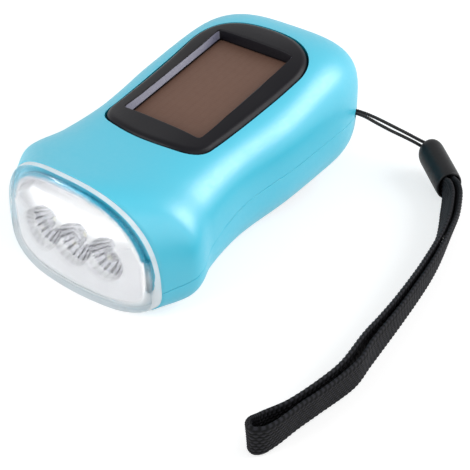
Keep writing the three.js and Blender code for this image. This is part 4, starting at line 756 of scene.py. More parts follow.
def band_piece():
    """The webbing, with its woven ribs as real relief on both faces, and the relief kept for a painted
    highlight on the thread tops.
    """
    fine = catmull_rom([(x, y, 0) for x, y, _, _ in BAND_ROUTE], BAND_SAMPLES)
    leans = catmull_rom([(lean, 0, 0) for _, _, lean, _ in BAND_ROUTE], BAND_SAMPLES)[:, 0]
    widths = catmull_rom([(width, 0, 0) for _, _, _, width in BAND_ROUTE], BAND_SAMPLES)[:, 0]
    widths = np.minimum(1, widths)
    table = resample(np.column_stack([fine, leans, widths]), BAND_SPACING)
    centre = table[:, :3]
    ahead = tangents_of(centre)
    columns = band_section()
    across = WEBBING_WIDTH / 2 - WEBBING_THICKNESS / 2
    rings = []
    raised = []
    for k in range(len(table)):
        lean = math.radians(table[k, 3])
        share = table[k, 4]
        out = np.array([-ahead[k][1], ahead[k][0], 0])
        out /= np.linalg.norm(out)
        side = out * math.cos(lean) + np.array([0, 0, -math.sin(lean)])
        up = out * math.sin(lean) + np.array([0, 0, math.cos(lean)])
        rest = WEBBING_WIDTH / 2 * math.cos(lean) + WEBBING_THICKNESS / 2 * abs(math.sin(lean))
        middle = centre[k] + np.array([0, 0, rest + BAND_REST - (1 - share) * WEBBING_THICKNESS])
        run = k * BAND_SPACING / WEAVE_PITCH
        ring = []
        for face, high, flat in columns:
            if flat:
                rib = (high + 1) / 2 * WEAVE_ACROSS
                phase = math.floor(rib) % 2
                relief = abs(math.sin(math.pi * rib)) ** RIB_POWER
                relief *= abs(math.sin(math.pi * (run + phase / 2)))
                thick = WEBBING_THICKNESS / 2 + WEAVE_PROUD - WEAVE_DEPTH * (1 - relief)
                raised.append(relief)
                height = high * across * share
                ring.append(middle + side * face * thick + up * height)
            else:
                bulge = math.sqrt(max(0.0, 1 - face * face)) * (WEBBING_THICKNESS / 2)
                wave = EDGE_DEPTH * abs(math.sin(math.pi * run))
                thick = (WEBBING_THICKNESS / 2 + WEAVE_PROUD - WEAVE_DEPTH) * face
                raised.append(wave / EDGE_DEPTH)
                ring.append(middle + side * thick + up * high * (across * share + bulge - wave))
        rings.append(ring)
    piece = dress(loft("webbing_band", rings, sharp_angle=75), WEBBING)
    # The relief sets where the painted highlight lies on the threads.
    values = piece.data.attributes.new("raised", "FLOAT", "POINT").data
    for k, value in enumerate(raised):
        values[k].value = value
    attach(piece, "case")
    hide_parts("strap_webbing")
    return piece, route_length(centre)


string, string_route = string_piece()
ferrule = ferrule_piece()
band, band_length = band_piece()

# Case: two halves of one lofted skin, cut along the parting line
COLUMNS = 168
ROW_STEP = 0.95
INNER_ROW_STEP = 3.0
SOFT_BELOW = 6.0
QUARTER_SAMPLES = 400
PLACE_SAMPLES = 6000
TIP = 0.99999
INNER_TIP = 0.9999
INNER_START = 0.06
SHARP_ANGLE = 32
SEAM = 0.06
SEAM_CHAMFER = 0.16
CHAMFER_SHARE = 0.6


def even_ring(place, inset, columns=COLUMNS):
    """One section of the body, its points spaced evenly in each quarter."""
    quarter = columns // 4
    t = (1 - np.cos(np.linspace(0, math.pi, QUARTER_SAMPLES))) / 2
    points = []
    for k in range(4):
        angles = np.clip(k * math.pi / 2 + t * math.pi / 2, 1e-9, 2 * math.pi - 1e-9)
        if k == 1:
            angles = np.minimum(angles, math.pi - 1e-9)
        if k == 2:
            angles = np.maximum(angles, math.pi + 1e-9)
        curve = body_points(np.full_like(angles, place), angles, inset)
        lengths = lengths_along(curve)
        points.append(at_lengths(np.linspace(0, lengths[-1], quarter + 1)[:-1], lengths, curve))
    ring = np.vstack(points)
    z = ring[:, 2]
    ring[:, 2] = np.where(z < SOFT_BELOW, soft_floor(z - inset) + inset, z)
    return ring


def even_places(inset, step):
    """Places along the body whose sections lie evenly along its outline, up to the tip."""
    place = 1 - np.linspace(1, 0, PLACE_SAMPLES) ** 3
    half_width, upper_centre, rise, lower_centre, drop = section_sizes(place, inset)
    y = RIM_Y + (HALF_BODY - inset - RIM_Y) * place
    top = upper_centre + rise
    run = np.sqrt(np.diff(y) ** 2 + 0.5 * np.diff(half_width) ** 2 + 0.5 * np.diff(top) ** 2)
    lengths = np.concatenate([[0], np.cumsum(run)])
    count = int(lengths[-1] / step)
    return np.interp(np.linspace(0, lengths[-1], count), lengths, place)


def case_skin():
    """The whole case as one hollow body: outer skin, front lip and inner skin."""
    rings = [even_ring(min(place, TIP), 0) for place in even_places(0, ROW_STEP)[::-1]]
    lip_outer = even_ring(0, FRONT_LIP)
    lip_outer[:, 1] = RIM_Y + rim_bow(lip_outer[:, 0])
    lip_inner = lip_outer + np.array([0, LIP_THICKNESS, 0])
    rings += [lip_outer, lip_inner]
    inner = [place for place in even_places(WALL, INNER_ROW_STEP) if place > INNER_START]
    rings += [even_ring(min(place, INNER_TIP), WALL) for place in inner]
    return loft("case_skin", rings)


def parting_height(y):
    return BODY_HEIGHT * along_body(PARTING_SHARES, place_at(np.asarray(y, float)))


def half_case(skin, name, upper):
    """Keeps one side of the parting line, with a small chamfer along its edge."""
    piece = skin.copy()
    piece.data = skin.data.copy()
    piece.name = name
    scene.collection.objects.link(piece)
    body = bmesh.new()
    body.from_mesh(piece.data)
    sign = 1 if upper else -1
    for vert in body.verts:
        vert.co.z -= float(parting_height(vert.co.y / MM)) * MM
    for level in (SEAM + SEAM_CHAMFER, SEAM):
        geometry = list(body.verts) + list(body.edges) + list(body.faces)
        last = level == SEAM
        cut = bmesh.ops.bisect_plane(
            body, geom=geometry, dist=1e-8,
            plane_co=(0, 0, sign * level * MM), plane_no=(0, 0, -sign),
            clear_outer=last, clear_inner=False,
        )
    edges = [e for e in cut["geom_cut"] if isinstance(e, bmesh.types.BMEdge)]
    for vert in outer_loop(edges):
        normal = Vector((vert.normal.x, vert.normal.y, 0))
        if normal.length > 1e-9:
            vert.co -= normal.normalized() * SEAM_CHAMFER * CHAMFER_SHARE * MM
    bmesh.ops.triangle_fill(body, use_beauty=True, use_dissolve=False, edges=edges)
    for vert in body.verts:
        vert.co.z += float(parting_height(vert.co.y / MM)) * MM
    bmesh.ops.recalc_face_normals(body, faces=body.faces)
    body.to_mesh(piece.data)
    body.free()
    piece.data.set_sharp_from_angle(angle=math.radians(SHARP_ANGLE))
    return piece


def outer_loop(edges):
    """The vertices of the outermost closed loop among some edges."""
    links = {}
    for edge in edges:
        a, b = edge.verts
        links.setdefault(a, []).append(b)
        links.setdefault(b, []).append(a)
    left = set(links)
    best = []
    best_reach = -1.0
    while left:
        stack = [next(iter(left))]
        loop = set()
        while stack:
            vert = stack.pop()
            if vert in loop:
                continue
            loop.add(vert)
            stack += links[vert]
        left -= loop
        reach = max(abs(v.co.x) for v in loop)
        if reach > best_reach:
            best, best_reach = list(loop), reach
    return best


# Solar frame and cell, in the well's own tilted plane
SOLAR_Y = 3.5
SOLAR_X = 0.9
SOLAR_HALF_WIDTH = 11.7
SOLAR_HALF_LENGTH = 19.2
SOLAR_DEPTH = 2.2
SOLAR_TILT = 0.14
WELL_LIFT = 0.3
CELL_THIN = 2.2
BEZEL_RISE = 0.6
BEZEL_HALF_WIDTH = 17.2
BEZEL_FRONT = 28.2
BEZEL_REAR = 28.3
BEZEL_FLARE = 0.8
SIDE_BULGE = 0.5
FRONT_CORNER = 5.0
REAR_CORNER = 10.0
FRONT_SAG = 3.4
REAR_SAG = 4.4
WELL_GROOVE = 0.22
CURVE_STEPS = 60
WELL_GAP = 0.3
WELL_FLOOR = -SOLAR_DEPTH - CELL_THIN - WELL_GAP
CROWN = float(roof_height(np.array(0.0), np.array(SOLAR_Y)))
TILT_LENGTH = math.hypot(1, SOLAR_TILT)


def in_well(x, y, z):
    """From the well's flat frame to the part's frame."""
    c, s = 1 / TILT_LENGTH, SOLAR_TILT / TILT_LENGTH
    along = SOLAR_Y + y * c - z * s
    return np.stack(np.broadcast_arrays(SOLAR_X + x, along, CROWN + WELL_LIFT + y * s + z * c), axis=-1)


def quadratic(a, b, c, steps):
    t = np.linspace(0, 1, steps, endpoint=False)[:, None]
    return (1 - t) ** 2 * np.array(a) + 2 * t * (1 - t) * np.array(b) + t * t * np.array(c)


def bezel_outline(grow, samples=288):
    """The frame's outline in the well's plane: bowed front, wider and rounder rear."""
    w = BEZEL_HALF_WIDTH - BEZEL_FLARE + grow
    v = BEZEL_HALF_WIDTH + BEZEL_FLARE + grow
    middle = (w + v) / 2 + SIDE_BULGE
    front = -BEZEL_FRONT - grow
    rear = BEZEL_REAR + grow
    start = (-w, front + FRONT_SAG + FRONT_CORNER)
    pieces = (
        ((-w, front + FRONT_SAG), (FRONT_CORNER - w, front + FRONT_SAG / 2)),
        ((0, front - FRONT_SAG / 2), (w - FRONT_CORNER, front + FRONT_SAG / 2)),
        ((w, front + FRONT_SAG), (w, front + FRONT_SAG + FRONT_CORNER)),
        ((middle, 0), (v, rear - REAR_SAG - REAR_CORNER)),
        ((v, rear - REAR_SAG), (v - REAR_CORNER, rear - REAR_SAG / 4)),
        ((0, rear + REAR_SAG / 4), (REAR_CORNER - v, rear - REAR_SAG / 4)),
        ((-v, rear - REAR_SAG), (-v, rear - REAR_SAG - REAR_CORNER)),
        ((-middle, 0), (-w, front + FRONT_SAG + FRONT_CORNER)),
    )
    points = []
    for middle_point, end in pieces:
        points.append(quadratic(start, middle_point, end, CURVE_STEPS))
        start = end
    outline = np.vstack(points)
    return resample_closed(np.vstack([outline, outline[:1]]), samples)


def opening_outline(half_width, half_length, radius, outline):
    """Points of a rounded rectangle, one on the ray to each point of the outer outline."""
    points = []
    for x, y in outline:
        ratio = max(abs(x) / half_width, abs(y) / half_length)
        px, py = x / ratio, y / ratio
        dx, dy = abs(px) - (half_width - radius), abs(py) - (half_length - radius)
        if dx > 0 and dy > 0:
            scale = radius / math.hypot(dx, dy)
            px = math.copysign(half_width - radius + dx * scale, px)
            py = math.copysign(half_length - radius + dy * scale, py)
        points.append((px, py))
    return np.array(points)


def over_roof(outline, rise):
    """Puts points of the well's plane on the body's surface, lifted by a rise, straight above it."""
    level = np.zeros(len(outline))
    for _ in range(20):
        p = in_well(outline[:, 0], outline[:, 1], level)
        level = level + 0.9 * (roof_height(p[:, 0], p[:, 1]) + rise - p[:, 2])
    return in_well(outline[:, 0], outline[:, 1], level)


EDGE_ROUND = 1.8
LIP_ROUND = 0.22
OPENING_RADIUS = 0.6
OPENING_REACH = 0.8
SLOPE_DEPTH = 1.5
LIP_RADIUS = 1.1
LIP_DROP = 0.35
LIP_STEPS = 5
LIP_DRAFT = 0.995
MARGIN = 0.7
FOOT_STEP = 0.1


def bezel_piece():
    """The frame follows the crown, with a soft outer edge and a sloped step down to the cell; its side
    slopes are painted lighter, a painted reflection.
    """
    outer = bezel_outline(0)
    reach = (SOLAR_HALF_WIDTH + OPENING_REACH, SOLAR_HALF_LENGTH + OPENING_REACH)
    opening = opening_outline(*reach, LIP_RADIUS, outer)
    foot = opening_outline(SOLAR_HALF_WIDTH, SOLAR_HALF_LENGTH, OPENING_RADIUS, outer)
    margin = opening_outline(SOLAR_HALF_WIDTH + MARGIN, SOLAR_HALF_LENGTH + MARGIN, OPENING_RADIUS, outer)
    inward = opening - outer
    width = np.linalg.norm(inward, axis=1)[:, None]
    unit = inward / width
    rings = [in_well(outer[:, 0], outer[:, 1], WELL_FLOOR + WELL_GAP)]
    rings.append(over_roof(outer, BEZEL_RISE - EDGE_ROUND))
    for k in range(1, 7):
        turn = k * math.pi / 12
        drop = EDGE_ROUND * (1 - math.sin(turn))
        rings.append(over_roof(outer + unit * EDGE_ROUND * (1 - math.cos(turn)), BEZEL_RISE - drop))
    for t in np.linspace(0.1, 0.92, 9):
        place = EDGE_ROUND + (width - EDGE_ROUND - LIP_ROUND) * t
        rings.append(over_roof(outer + unit * place, BEZEL_RISE))
    level = over_roof(outer + unit * (width - LIP_ROUND), BEZEL_RISE)
    corner = over_roof(opening, BEZEL_RISE)
    down = in_well(opening[:, 0] * LIP_DRAFT, opening[:, 1] * LIP_DRAFT, 0) - corner
    down = corner + down * np.minimum(1, LIP_DROP / np.linalg.norm(down, axis=1))[:, None]
    for t in np.linspace(0, 1, LIP_STEPS):
        rings.append((1 - t) ** 2 * level + 2 * t * (1 - t) * corner + t * t * down)
    slope = len(rings) - 1
    steps = (
        (foot, -SLOPE_DEPTH), (foot, -SLOPE_DEPTH - FOOT_STEP), (foot, -SOLAR_DEPTH + WELL_GAP),
        (margin, -SOLAR_DEPTH + WELL_GAP), (margin, WELL_FLOOR + WELL_GAP),
    )
    rings += [in_well(outline[:, 0], outline[:, 1], z) for outline, z in steps]
    piece = dress(loft("solar_frame", rings, closed_rows=True, sharp_angle=SHARP_ANGLE), BEZEL)
    # The side faces of the slope carry the lighter paint, a painted reflection, and are shaded flat.
    piece.data.materials.append(SLOPE_PAINTED_REFLECTION.material)
    for polygon in piece.data.polygons:
        if polygon.index // len(outer) == slope and abs(polygon.normal.x) > abs(polygon.normal.y):
            polygon.material_index = 1
            polygon.use_smooth = False
    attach(piece, "case")
    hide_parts("solar_bezel")
    return piece


CELL_MARGIN = 0.35
CELL_COLUMNS = 120


def cell_piece():
    """The cell under clear resin, with a small round edge."""
    w, l = SOLAR_HALF_WIDTH + CELL_MARGIN, SOLAR_HALF_LENGTH + CELL_MARGIN
    corners = np.array([(-w, -l), (w, -l), (w, l), (-w, l), (-w, -l)], float)
    outline = resample_closed(corners, CELL_COLUMNS)
    bottom = -SOLAR_DEPTH - CELL_THIN
    rings = []
    for shrink, z in (
        (0.2, bottom + 0.1), (0, bottom + 0.3), (0, -SOLAR_DEPTH - 0.15),
        (0.1, -SOLAR_DEPTH - 0.02), (0.5, -SOLAR_DEPTH),
    ):
        scaled = outline * np.array([(w - shrink) / w, (l - shrink) / l])
        rings.append(in_well(scaled[:, 0], scaled[:, 1], z))
    piece = dress(loft("solar_cell", rings, sharp_angle=60), CELL)
    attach(piece, "case")
    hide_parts("solar_panel")
    return piece


def prism(name, outline, z0, z1, place=None):
    """A straight body over an outline, in the part's frame or in the well's."""
    if place:
        return loft(name, [place(outline[:, 0], outline[:, 1], z) for z in (z0, z1)])
    return loft(name, [np.column_stack([outline, np.full(len(outline), z)]) for z in (z0, z1)])


# Underside: crank dish, button, shell screws
CRANK_Y = 15.0
DISH_RADIUS = 22.0
DISH_CHAMFER = 1.2
GROOVE_CEILING = 12.9
DISH_CEILING = 9.3
DISH_TOP = 14.9
HUB_GAP_RADIUS = 12.5
BOSS_BORE = 3.95
BUTTON_Y = -26.0
BUTTON_HOLE = 4.6
BUTTON_PROFILE = (
    (0, 1.0), (2.0, 0.95), (3.3, 0.8), (3.9, 0.85), (4.2, 1.05), (4.28, 1.3), (4.3, 1.8), (5.2, 1.8),
    (5.2, 2.6), (0, 2.6),
)
SCREW_PLACES = ((-20.6, -34.0), (20.6, -34.0), (-14.0, 43.0), (14.0, 43.0))
SCREW_POCKET = 2.4
SCREW_TOP = 4.9
SCREW_MOUTH = 0.9
SCREW_WALL = 1
SHANK_RADIUS = 1.15
ANCHOR_X = 18.7
ANCHOR_Y = 39.2
ANCHOR_Z = 15.9
STRAP_AXIS = (0.935, 0.355)
SLOT_LENGTH = 7.6
SLOT_WIDTH = 4.6
SLOT_HEIGHT = 2.8
SLOT_FORWARD = 5.4
SLOT_SIDES = 40
WELL_COLUMNS = 144
WELL_TOP = 12.0
CUT_START = -5
DISH_CUT_TOP = 13
BUTTON_CUT_TOP = 6
SCREW_CUT_OVER = 2
DISH_SIDES = 160
FIT = 0.01


def slot_cutter():
    """A slot with round ends for the strap's cord."""
    angle = math.atan2(STRAP_AXIS[1], STRAP_AXIS[0])
    x = ANCHOR_X + STRAP_AXIS[0] * SLOT_FORWARD
    y = ANCHOR_Y + STRAP_AXIS[1] * SLOT_FORWARD
    turns = full_turn(SLOT_SIDES)
    side = np.clip(np.cos(turns) * SLOT_HEIGHT / 2, -SLOT_HEIGHT / 2, SLOT_HEIGHT / 2)
    side = side + np.sign(np.round(np.cos(turns), 9)) * (SLOT_WIDTH - SLOT_HEIGHT) / 2
    high = np.sin(turns) * SLOT_HEIGHT / 2
    rings = []
    for reach in (-SLOT_LENGTH / 2, SLOT_LENGTH / 2):
        px = x + math.cos(angle) * reach - math.sin(angle) * side
        py = y + math.sin(angle) * reach + math.cos(angle) * side
        rings.append(np.column_stack([px, py, ANCHOR_Z + high]))
    return loft("slot_cutter", rings)


def case_pieces():
    skin = case_skin()
    whole = copy_shape(skin)
    upper = half_case(skin, "case_upper", True)
    lower = half_case(skin, "case_lower", False)
    bpy.data.objects.remove(skin)
    well = prism("well_cutter", bezel_outline(WELL_GROOVE, WELL_COLUMNS), WELL_FLOOR, WELL_TOP, in_well)
    boolean(upper, [well, slot_cutter()])
    dish = circle(0, CRANK_Y, DISH_RADIUS + DISH_CHAMFER, 128)
    holes = [prism("dish_cutter", dish, CUT_START, DISH_CUT_TOP)]
    holes.append(prism("button_cutter", circle(0, BUTTON_Y, BUTTON_HOLE, 64), CUT_START, BUTTON_CUT_TOP))
    for x, y in SCREW_PLACES:
        pocket = circle(x, y, SCREW_POCKET, 48)
        holes.append(prism("screw_cutter", pocket, CUT_START, SCREW_TOP + SCREW_CUT_OVER))
    holes.append(slot_cutter())
    boolean(lower, holes)
    for piece, node_name in ((upper, "upper_shell"), (lower, "lower_shell")):
        dress(piece, SHELL)
        piece.data.polygons.foreach_set("use_smooth", [True] * len(piece.data.polygons))
        piece.data.set_sharp_from_angle(angle=math.radians(SHARP_ANGLE))
        keep_normals(piece, whole)
        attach(piece, "case")
        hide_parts(node_name)
    return upper, lower


def dish_piece():
    """The crank's dish: its rim follows the curved base, and a groove runs round the hub."""
    outer = DISH_RADIUS + DISH_CHAMFER - FIT

    def ring(radius, height):
        return np.column_stack([circle(0, CRANK_Y, radius, DISH_SIDES), np.full(DISH_SIDES, height)])

    rim = ring(outer, 0.0)
    rim[:, 2] = base_height(rim[:, 0], rim[:, 1])
    inner = np.column_stack([circle(0, CRANK_Y, DISH_RADIUS, DISH_SIDES), rim[:, 2]])
    rings = [ring(outer, DISH_TOP), rim]
    for k in range(1, 6):
        t = k / 5
        blended = rim * (1 - t) + inner * t
        blended[:, 2] = rim[:, 2] + DISH_CHAMFER * (1 - math.cos(t * math.pi / 2))
        rings.append(blended)
    steps = (
        (DISH_RADIUS, GROOVE_CEILING - 0.5), (DISH_RADIUS - 0.15, GROOVE_CEILING - 0.15),
        (DISH_RADIUS - 0.5, GROOVE_CEILING), (HUB_GAP_RADIUS + 0.4, GROOVE_CEILING),
        (HUB_GAP_RADIUS, GROOVE_CEILING - 0.4), (HUB_GAP_RADIUS, DISH_CEILING + 0.3),
        (HUB_GAP_RADIUS - 0.3, DISH_CEILING), (BOSS_BORE, DISH_CEILING), (BOSS_BORE, DISH_TOP),
    )
    rings += [ring(radius, height) for radius, height in steps]
    piece = dress(loft("crank_dish", rings, closed_rows=True, sharp_angle=38), SHELL)
    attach(piece, "case")
    return piece


def screw_pockets():
    """A stepped sleeve round each shell screw, from its pocket's mouth to its head's seat."""
    for k, (x, y) in enumerate(SCREW_PLACES):
        low = float(base_height(np.array(x), np.array(y))) + SCREW_MOUTH
        bore = SCREW_POCKET - FIT
        outside = SCREW_POCKET + SCREW_WALL
        piece = lathe(f"screw_pocket_{k + 1}", x, y, (
            (bore, low), (bore, SCREW_TOP), (SHANK_RADIUS, SCREW_TOP),
            (SHANK_RADIUS, SCREW_TOP + SCREW_WALL), (outside, SCREW_TOP + SCREW_WALL), (outside, low + 1.2),
        ), 64)
        dress(piece, SHELL)
        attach(piece, "case")


def button_piece():
    """The switch button: a soft dome with a shallow finger dip, and its flange."""
    piece = dress(lathe("button_cap", 0, BUTTON_Y, BUTTON_PROFILE), BLACK)
    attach(piece, "button")
    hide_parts("push_button")


# Lens, reflector and lamps
LENS_SHARES = (
    (0.99, 0), (0.988, 0.09), (0.98, 0.36), (0.96, 0.67), (0.915, 0.83), (0.79, 0.9), (0.55, 0.96),
    (0.25, 1), (0, 1),
)
LENS_COLUMNS = 200
LENS_SEAT = 0.04
LENS_FOOT = 0.06
LENS_ROWS = 34
LENS_TIP = 0.004
LENS_EDGE_HEIGHTS = (9.0, 15.0)
LENS_EDGE_BANDS = (2.3, 1.2)
LENS_INNER_BAND = 1.7


def lens_ring(inset, size, forward):
    section = even_ring(0, inset, LENS_COLUMNS)
    centre_z = (RIM_TOP + float(body_points(np.array(0.0), np.array(-math.pi / 2))[2])) / 2
    x = section[:, 0] * size
    z = np.maximum(centre_z + (section[:, 2] - centre_z) * size, inset + LENS_FOOT)
    return np.column_stack([x, RIM_Y + rim_bow(x) - forward, z])


def lens_piece():
    """A clear cap with a rounded shoulder and a gently domed front, 1.3 mm thick."""
    shares = catmull_rom([(size, forward, 0) for size, forward in LENS_SHARES[1:]], LENS_ROWS)[:, :2]
    shares[:, 0] = np.clip(shares[:, 0], LENS_TIP, 1)
    inner_depth = LENS_DEPTH - LENS_WALL
    rings = [lens_ring(0, LENS_SHARES[0][0], LENS_SEAT)]
    rings += [lens_ring(0, size, LENS_DEPTH * forward) for size, forward in shares]
    rings += [lens_ring(LENS_WALL, size, inner_depth * forward) for size, forward in shares[::-1]]
    rings += [lens_ring(LENS_WALL, LENS_SHARES[0][0], LENS_SEAT)]
    piece = dress(loft("lens_cap", rings, closed_rows=True, sharp_angle=50), CLEAR)
    # The outer shoulder band, wider lower down, and a low inner band get the opaque white: a painted
    # highlight.
    piece.data.materials.append(LENS_EDGE_PAINTED_HIGHLIGHT.material)
    outside = LENS_COLUMNS * len(shares)
    for polygon in piece.data.polygons:
        ahead = RIM_Y + rim_bow(polygon.center.x / MM) - polygon.center.y / MM
        high = polygon.center.z / MM
        if polygon.index < outside and ahead < np.interp(high, LENS_EDGE_HEIGHTS, LENS_EDGE_BANDS):
            polygon.material_index = 1
        if polygon.index >= outside and high < LENS_EDGE_HEIGHTS[0] and ahead < LENS_INNER_BAND:
            polygon.material_index = 1
    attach(piece, "case")
    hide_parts("front_lens")
    return piece


REFLECTOR_FORWARD = 1.5
REFLECTOR_BACK = -43.0
REFLECTOR_EDGE = LENS_WALL + 1.1
BOWL_HALF_WIDTH = 20.0
BOWL_DEPTH = 6.5
BOWL_HALF_HEIGHT = 6.8
BOWL_Z = 24.0
LAMP_SPACING = 10.3
LAMP_Z = 14.5
LAMP_RADIUS = 2.5
LAMP_LENGTH = 7.4
LAMP_BACK = -40.8
POCKET_MOUTH = 5.7
POCKET_THROAT = 2.8
POCKET_DEPTH = 6.4
POCKET_POWER = 0.6
FLUTES = 18
FLUTE_DEPTH = 0.28
FLUTE_SHARE = -0.45
MOUTH_SHARE = 0.14
LAMP_XS = (-LAMP_SPACING, 0.0, LAMP_SPACING)


def reflector_depth(x, z):
    """How far behind the plate's front the reflector's surface is, and which paint it gets, painted
    highlight and painted dark reflection among them.
    """
    bowl_share = np.sqrt((x / BOWL_HALF_WIDTH) ** 2 + ((z - BOWL_Z) / BOWL_HALF_HEIGHT) ** 2)
    bowl = BOWL_DEPTH * np.sqrt(np.maximum(0, 1 - bowl_share**2))
    depth = bowl
    kind = np.where(bowl > 0.02, 1, 0)
    for lamp_x in LAMP_XS:
        dx, dz = x - lamp_x, z - LAMP_Z
        radius = np.hypot(dx, dz)
        around = np.arctan2(dz, dx)
        cone = (POCKET_MOUTH - radius) / (POCKET_MOUTH - POCKET_THROAT)
        curve = POCKET_DEPTH * np.clip(cone, 0, 1) ** POCKET_POWER
        flute = FLUTE_DEPTH * (np.cos(FLUTES * around) - 1) / 2
        flute = flute * np.clip(cone * 3, 0, 1) * np.clip((1.2 - cone) * 3, 0, 1)
        inside = radius < POCKET_MOUTH
        value = np.where(inside, curve + flute, 0)
        # The bottom of each flute gets a painted dark reflection, and each pocket's mouth ring the bowl's
        # white as a painted highlight.
        groove = np.where(np.cos(FLUTES * around) < FLUTE_SHARE, 3, 2)
        groove = np.where(cone < MOUTH_SHARE, 1, groove)
        kind = np.where(value > np.maximum(depth, 0.02), groove, kind)
        depth = np.maximum(depth, value)
    return depth, kind


def interpolated(wanted, xs, zs):
    order = np.argsort(xs)
    return np.interp(wanted, xs[order], zs[order])


FLANGE_SHOULDER = 0.8
FLANGE_ROUND = 1.6
FLANGE_CHAMFER = 0.1
FLANGE_DROP = 0.5
BOWL_FADE = 1.2
REFLECTOR_GRID = (260, 150)
EDGE_SAMPLES = 400
REFLECTOR_GAP = 0.3


def reflector_piece():
    """One pressed plate: an eye-shaped bowl above three fluted pockets."""
    columns, rows = REFLECTOR_GRID
    outline = even_ring(0, REFLECTOR_EDGE, EDGE_SAMPLES)
    xs, zs = outline[:, 0], outline[:, 2]
    middle = (zs.max() + zs.min()) / 2
    upper = zs >= middle
    across = xs.max() * 0.9995 * np.sin(np.linspace(-math.pi / 2, math.pi / 2, columns))
    top = interpolated(across, xs[upper], zs[upper])
    low = interpolated(across, xs[~upper], zs[~upper])
    y = RIM_Y - REFLECTOR_FORWARD + rim_bow(across)
    front = [np.column_stack([across, y, low + (top - low) * t]) for t in np.linspace(0, 1, rows)]
    border = list(range(columns))
    border += [r * columns + columns - 1 for r in range(1, rows)]
    border += [(rows - 1) * columns + c for c in range(columns - 2, -1, -1)]
    border += [r * columns for r in range(rows - 2, 0, -1)]
    points = np.array(front).reshape(-1, 3)
    depth, kinds = reflector_depth(points[:, 0], points[:, 2])
    edge = points[border]
    around = np.arctan2(edge[:, 2] - middle, edge[:, 0])
    reach = np.hypot(edge[:, 2] - middle, edge[:, 0])
    order = np.argsort(around)
    angle = np.arctan2(points[:, 2] - middle, points[:, 0])
    limit = np.interp(angle, around[order], reach[order], period=2 * math.pi)
    inward = limit - np.hypot(points[:, 2] - middle, points[:, 0])
    points[:, 1] += np.interp(inward, [0, FLANGE_SHOULDER, FLANGE_ROUND], [FLANGE_DROP, FLANGE_CHAMFER, 0])
    points[:, 1] += depth * np.interp(inward, [FLANGE_ROUND, FLANGE_ROUND + BOWL_FADE], [0, 1])
    # The plate's rounded rim gets the bowl's white as a painted highlight line, its outer shoulder the teal
    # painted refraction.
    kinds = np.where(inward < FLANGE_ROUND, 1, kinds)
    kinds = np.where(inward < FLANGE_SHOULDER, 4, kinds)
    faces = grid_faces(rows, columns, closed_columns=False)
    count = len(border)
    rings = [edge]
    shrink = (reach - (FRONT_LIP + REFLECTOR_GAP - REFLECTOR_EDGE)) / reach
    inner = np.column_stack([edge[:, 0] * shrink, edge[:, 1], middle + (edge[:, 2] - middle) * shrink])
    for ring, y in ((edge, None), (inner, None), (inner, REFLECTOR_BACK)):
        moved = ring.copy()
        moved[:, 1] = RIM_Y - REFLECTOR_GAP + rim_bow(ring[:, 0]) if y is None else y
        rings.append(moved)
    all_points = [points]
    previous = border
    start = len(points)
    for ring in rings[1:]:
        current = list(range(start, start + count))
        for k in range(count):
            n = (k + 1) % count
            faces.append((previous[k], previous[n], current[n], current[k]))
        all_points.append(ring)
        previous = current
        start += count
    all_points.append([(0, REFLECTOR_BACK, middle)])
    for k in range(count):
        faces.append((previous[k], previous[(k + 1) % count], start))
    piece = make_object("reflector_plate", np.vstack(all_points), faces, 60)
    face_outward(piece)
    for paint in (MIRROR, BOWL_PAINTED_HIGHLIGHT_AND_SHADE, POCKET_MIRROR, FLUTE_SHADE, EDGE_MIRROR_PAINTED_REFRACTION):
        piece.data.materials.append(paint.material)
    for polygon in piece.data.polygons:
        first = min(polygon.vertices)
        polygon.material_index = int(kinds[first]) if max(polygon.vertices) < len(points) else 4
    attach(piece, "case")
    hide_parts("reflector")
    return piece


# Distance ahead of the lamp's back, and growth of the radius there
LAMP_FLANGE = ((1.05, 0), (1, 0.38), (0.9, 0.4), (0.1, 0.4), (0, 0.3))
# Letter, side and height of each lead
LEADS = (("a", -1, 2.3), ("b", 1, 3.4))
LEAD_APART = 0.75
LEAD_START = 0.6
LEAD_SECTION = ((-0.28, -0.25), (0.28, -0.25), (0.28, 0.25), (-0.28, 0.25))
DIE_Y = LAMP_BACK - 4.4
DIE_PROFILE = ((0.1, DIE_Y - 0.1), (0.55, DIE_Y), (0.6, DIE_Y + 0.25), (0.1, DIE_Y + 0.3))


def lamp_ring(x, radius, y, sides=48):
    ring = circle(x, LAMP_Z, radius, sides)
    return np.column_stack([ring[:, 0], np.full(sides, y), ring[:, 1]])


def lamp_pieces():
    """Clear 5 mm lamps, each with its lead frame, cup and dot of phosphor inside."""
    tip = LAMP_BACK - LAMP_LENGTH
    for x, node_name in zip(LAMP_XS, ("lamp_left", "lamp_middle", "lamp_right")):
        rings = []
        for t in np.linspace(0.03, math.pi / 2, 12):
            rings.append(lamp_ring(x, LAMP_RADIUS * math.sin(t), tip + LAMP_RADIUS * (1 - math.cos(t))))
        rings += [lamp_ring(x, LAMP_RADIUS + grow, LAMP_BACK - ahead) for ahead, grow in LAMP_FLANGE]
        bulb = dress(loft(f"{node_name}_bulb", rings), LED_CLEAR)
        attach(bulb, "case")
        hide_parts(node_name)
        for letter, side, height in LEADS:
            y0 = LAMP_BACK - LEAD_START
            y1 = y0 - height
            posts = []
            for y, grow in ((y0, 1), ((y0 + y1) / 2, 1), (y1 + 0.5, 1.2), (y1, 2.2)):
                middle = x + side * LEAD_APART
                posts.append([[middle + px * grow, y, LAMP_Z + pz] for px, pz in LEAD_SECTION])
            piece = dress(loft(f"{node_name}_lead_{letter}", posts), LEAD)
            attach(piece, "case")
        die = loft(f"{node_name}_die", [lamp_ring(x, radius, y, 24) for radius, y in DIE_PROFILE])
        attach(dress(die, PHOSPHOR), "case")


case_pieces()
dish_piece()
screw_pockets()
button_piece()
bezel_piece()
cell_piece()
lens_piece()
reflector_piece()
lamp_pieces()

